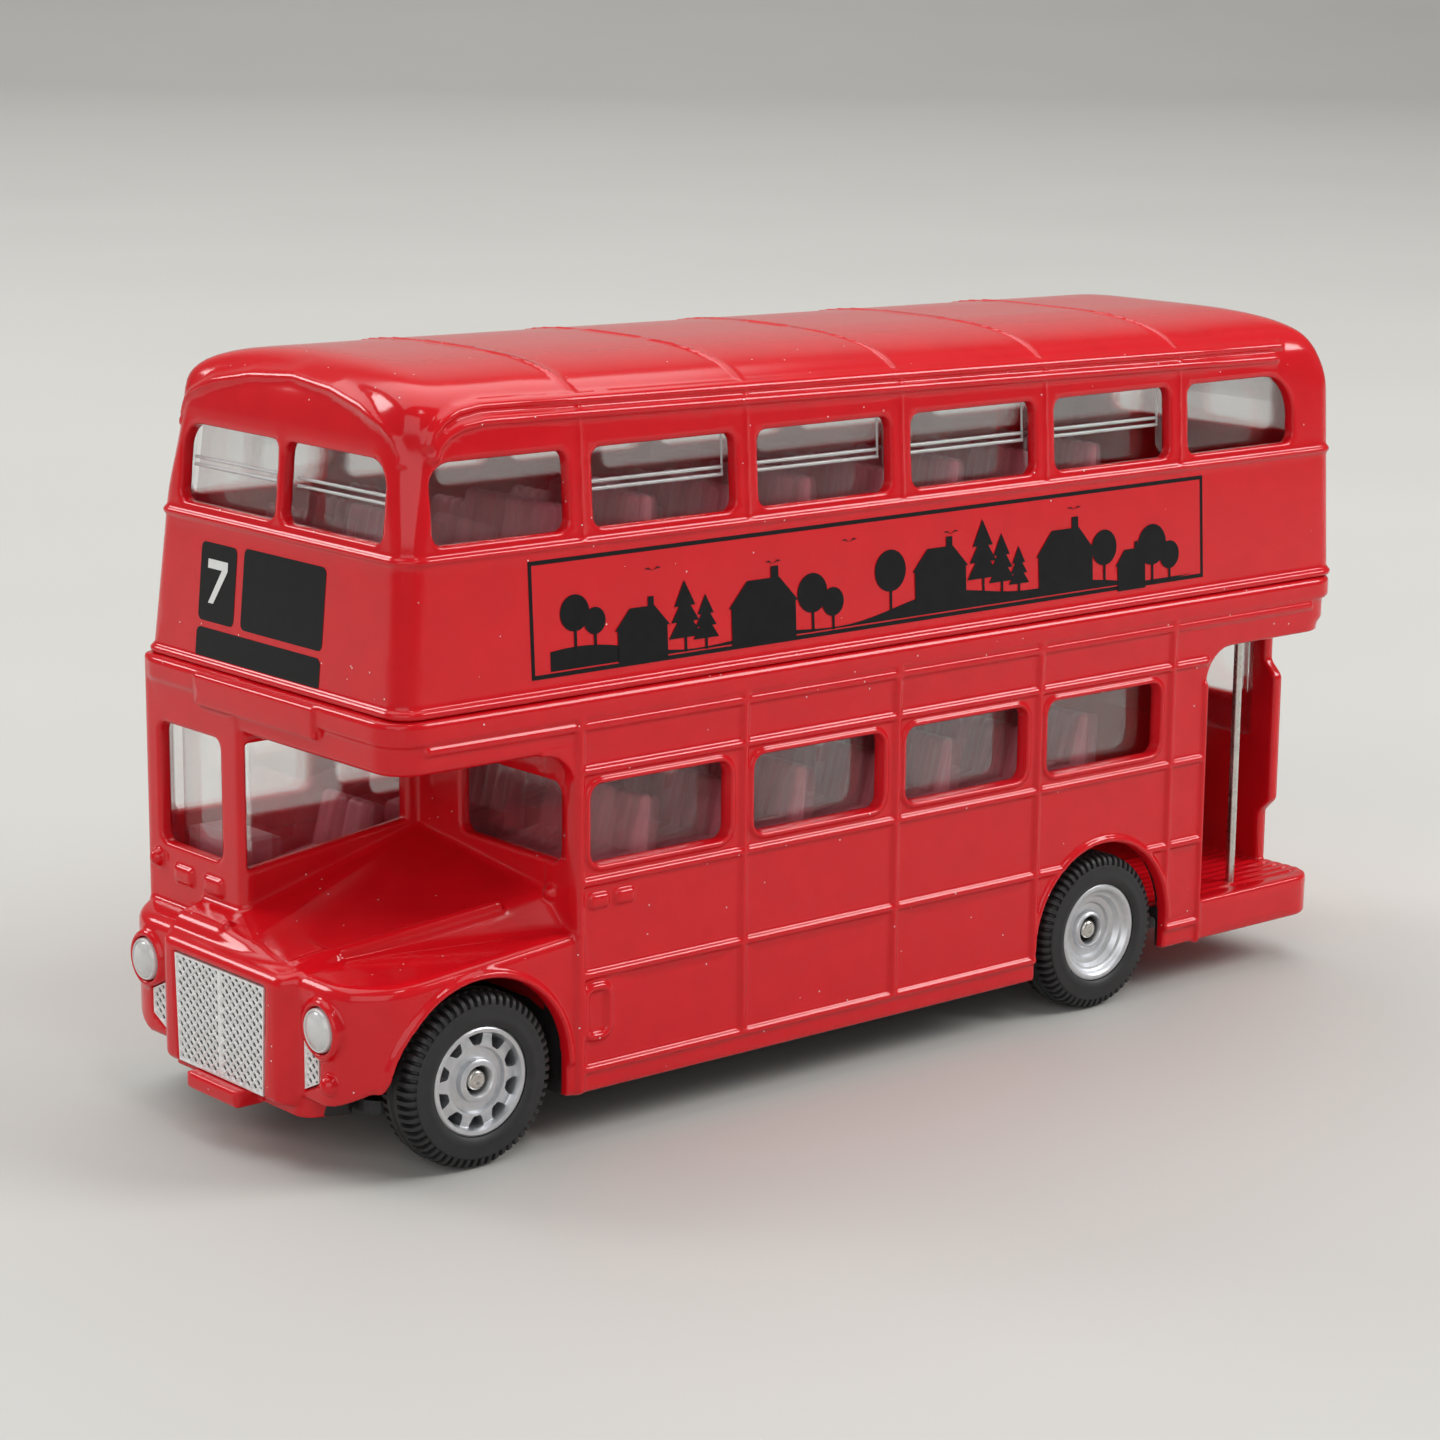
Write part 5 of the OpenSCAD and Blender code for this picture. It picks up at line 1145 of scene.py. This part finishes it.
# Stage, light and camera
CAMERA_AT = (-0.215568, -0.249298, 0.100991)
CAMERA_TURN, CAMERA_RISE, CAMERA_ROLL = (math.radians(turn) for turn in (-40.29, 12.29, 0.51))
CAMERA_LENS, SENSOR = 88.789, 36
SWEEP, SWEEP_SIDE = [(-3, 0), (2.2, 0), (2.6, 0.05), (2.9, 0.2), (3.05, 0.5), (3.1, 2.6)], 5
BUS_MIDDLE = (0, 0, 0.03)
LAMPS = (("right", (0.63, -0.5, 0.59), BUS_MIDDLE, (0.42, 0.34), 4.8),
         ("left", (-0.45, 0.82, 0.58), BUS_MIDDLE, (0.36, 0.28), 2.8),
         ("near", (-0.09, -0.72, 1.3), BUS_MIDDLE, (0.26, 0.26), 1.8),
         ("overhead", (0.4, 1.0, 1.9), (0.5, 1.2, 0), (2.6, 2.6), 40),
         ("fill", (-1.5, -1.0, 0.9), BUS_MIDDLE, (2.2, 1.4), 15))
WORLD_COLOUR, WORLD_STRENGTH = (0.9, 0.9, 0.9, 1), 0.24


def stage():
    """A pale floor that sweeps up into a backdrop."""
    data = bpy.data.meshes.new("sweep")
    shape = bmesh.new()
    rows = [[shape.verts.new((side, y, z)) for y, z in SWEEP] for side in (-SWEEP_SIDE, SWEEP_SIDE)]
    for i in range(len(SWEEP) - 1):
        shape.faces.new((rows[0][i], rows[1][i], rows[1][i + 1], rows[0][i + 1]))
    turn = Matrix.Rotation(CAMERA_TURN, 4, "Z")
    bmesh.ops.transform(shape, matrix=turn, verts=shape.verts)
    shape.to_mesh(data)
    data.polygons.foreach_set("use_smooth", [True] * len(data.polygons))
    floor = new_object("sweep", data)
    data.materials.append(material("paper", (0.53, 0.525, 0.498), 0.6, mottle=0.01, grain=8))


def lamp(name, place, target, size, power):
    """A soft square light aimed at a point."""
    light = bpy.data.lights.new(name, "AREA")
    light.shape, light.size, light.size_y, light.energy = "RECTANGLE", size[0], size[1], power
    obj = new_object(name, light)
    obj.location = place
    obj.rotation_euler = (Vector(target) - Vector(place)).to_track_quat("-Z", "Y").to_euler()


def camera():
    """The photograph's camera."""
    aim = (Matrix.Rotation(CAMERA_TURN, 4, "Z") @ Matrix.Rotation(math.pi / 2 - CAMERA_RISE, 4, "X")
           @ Matrix.Rotation(CAMERA_ROLL, 4, "Z"))
    data = bpy.data.cameras.new("camera")
    data.lens, data.sensor_width, data.clip_start = CAMERA_LENS, SENSOR, 0.01
    obj = new_object("camera", data)
    obj.matrix_world = Matrix.Translation(CAMERA_AT) @ aim
    bpy.context.scene.camera = obj


stage()
for lamp_settings in LAMPS:
    lamp(*lamp_settings)
world = bpy.data.worlds.new("studio")
world.use_nodes = True
feed(world, world.node_tree.nodes["Background"], {"Color": WORLD_COLOUR, "Strength": WORLD_STRENGTH})
bpy.context.scene.world = world
camera()
bpy.context.scene.view_settings.view_transform = "Standard"
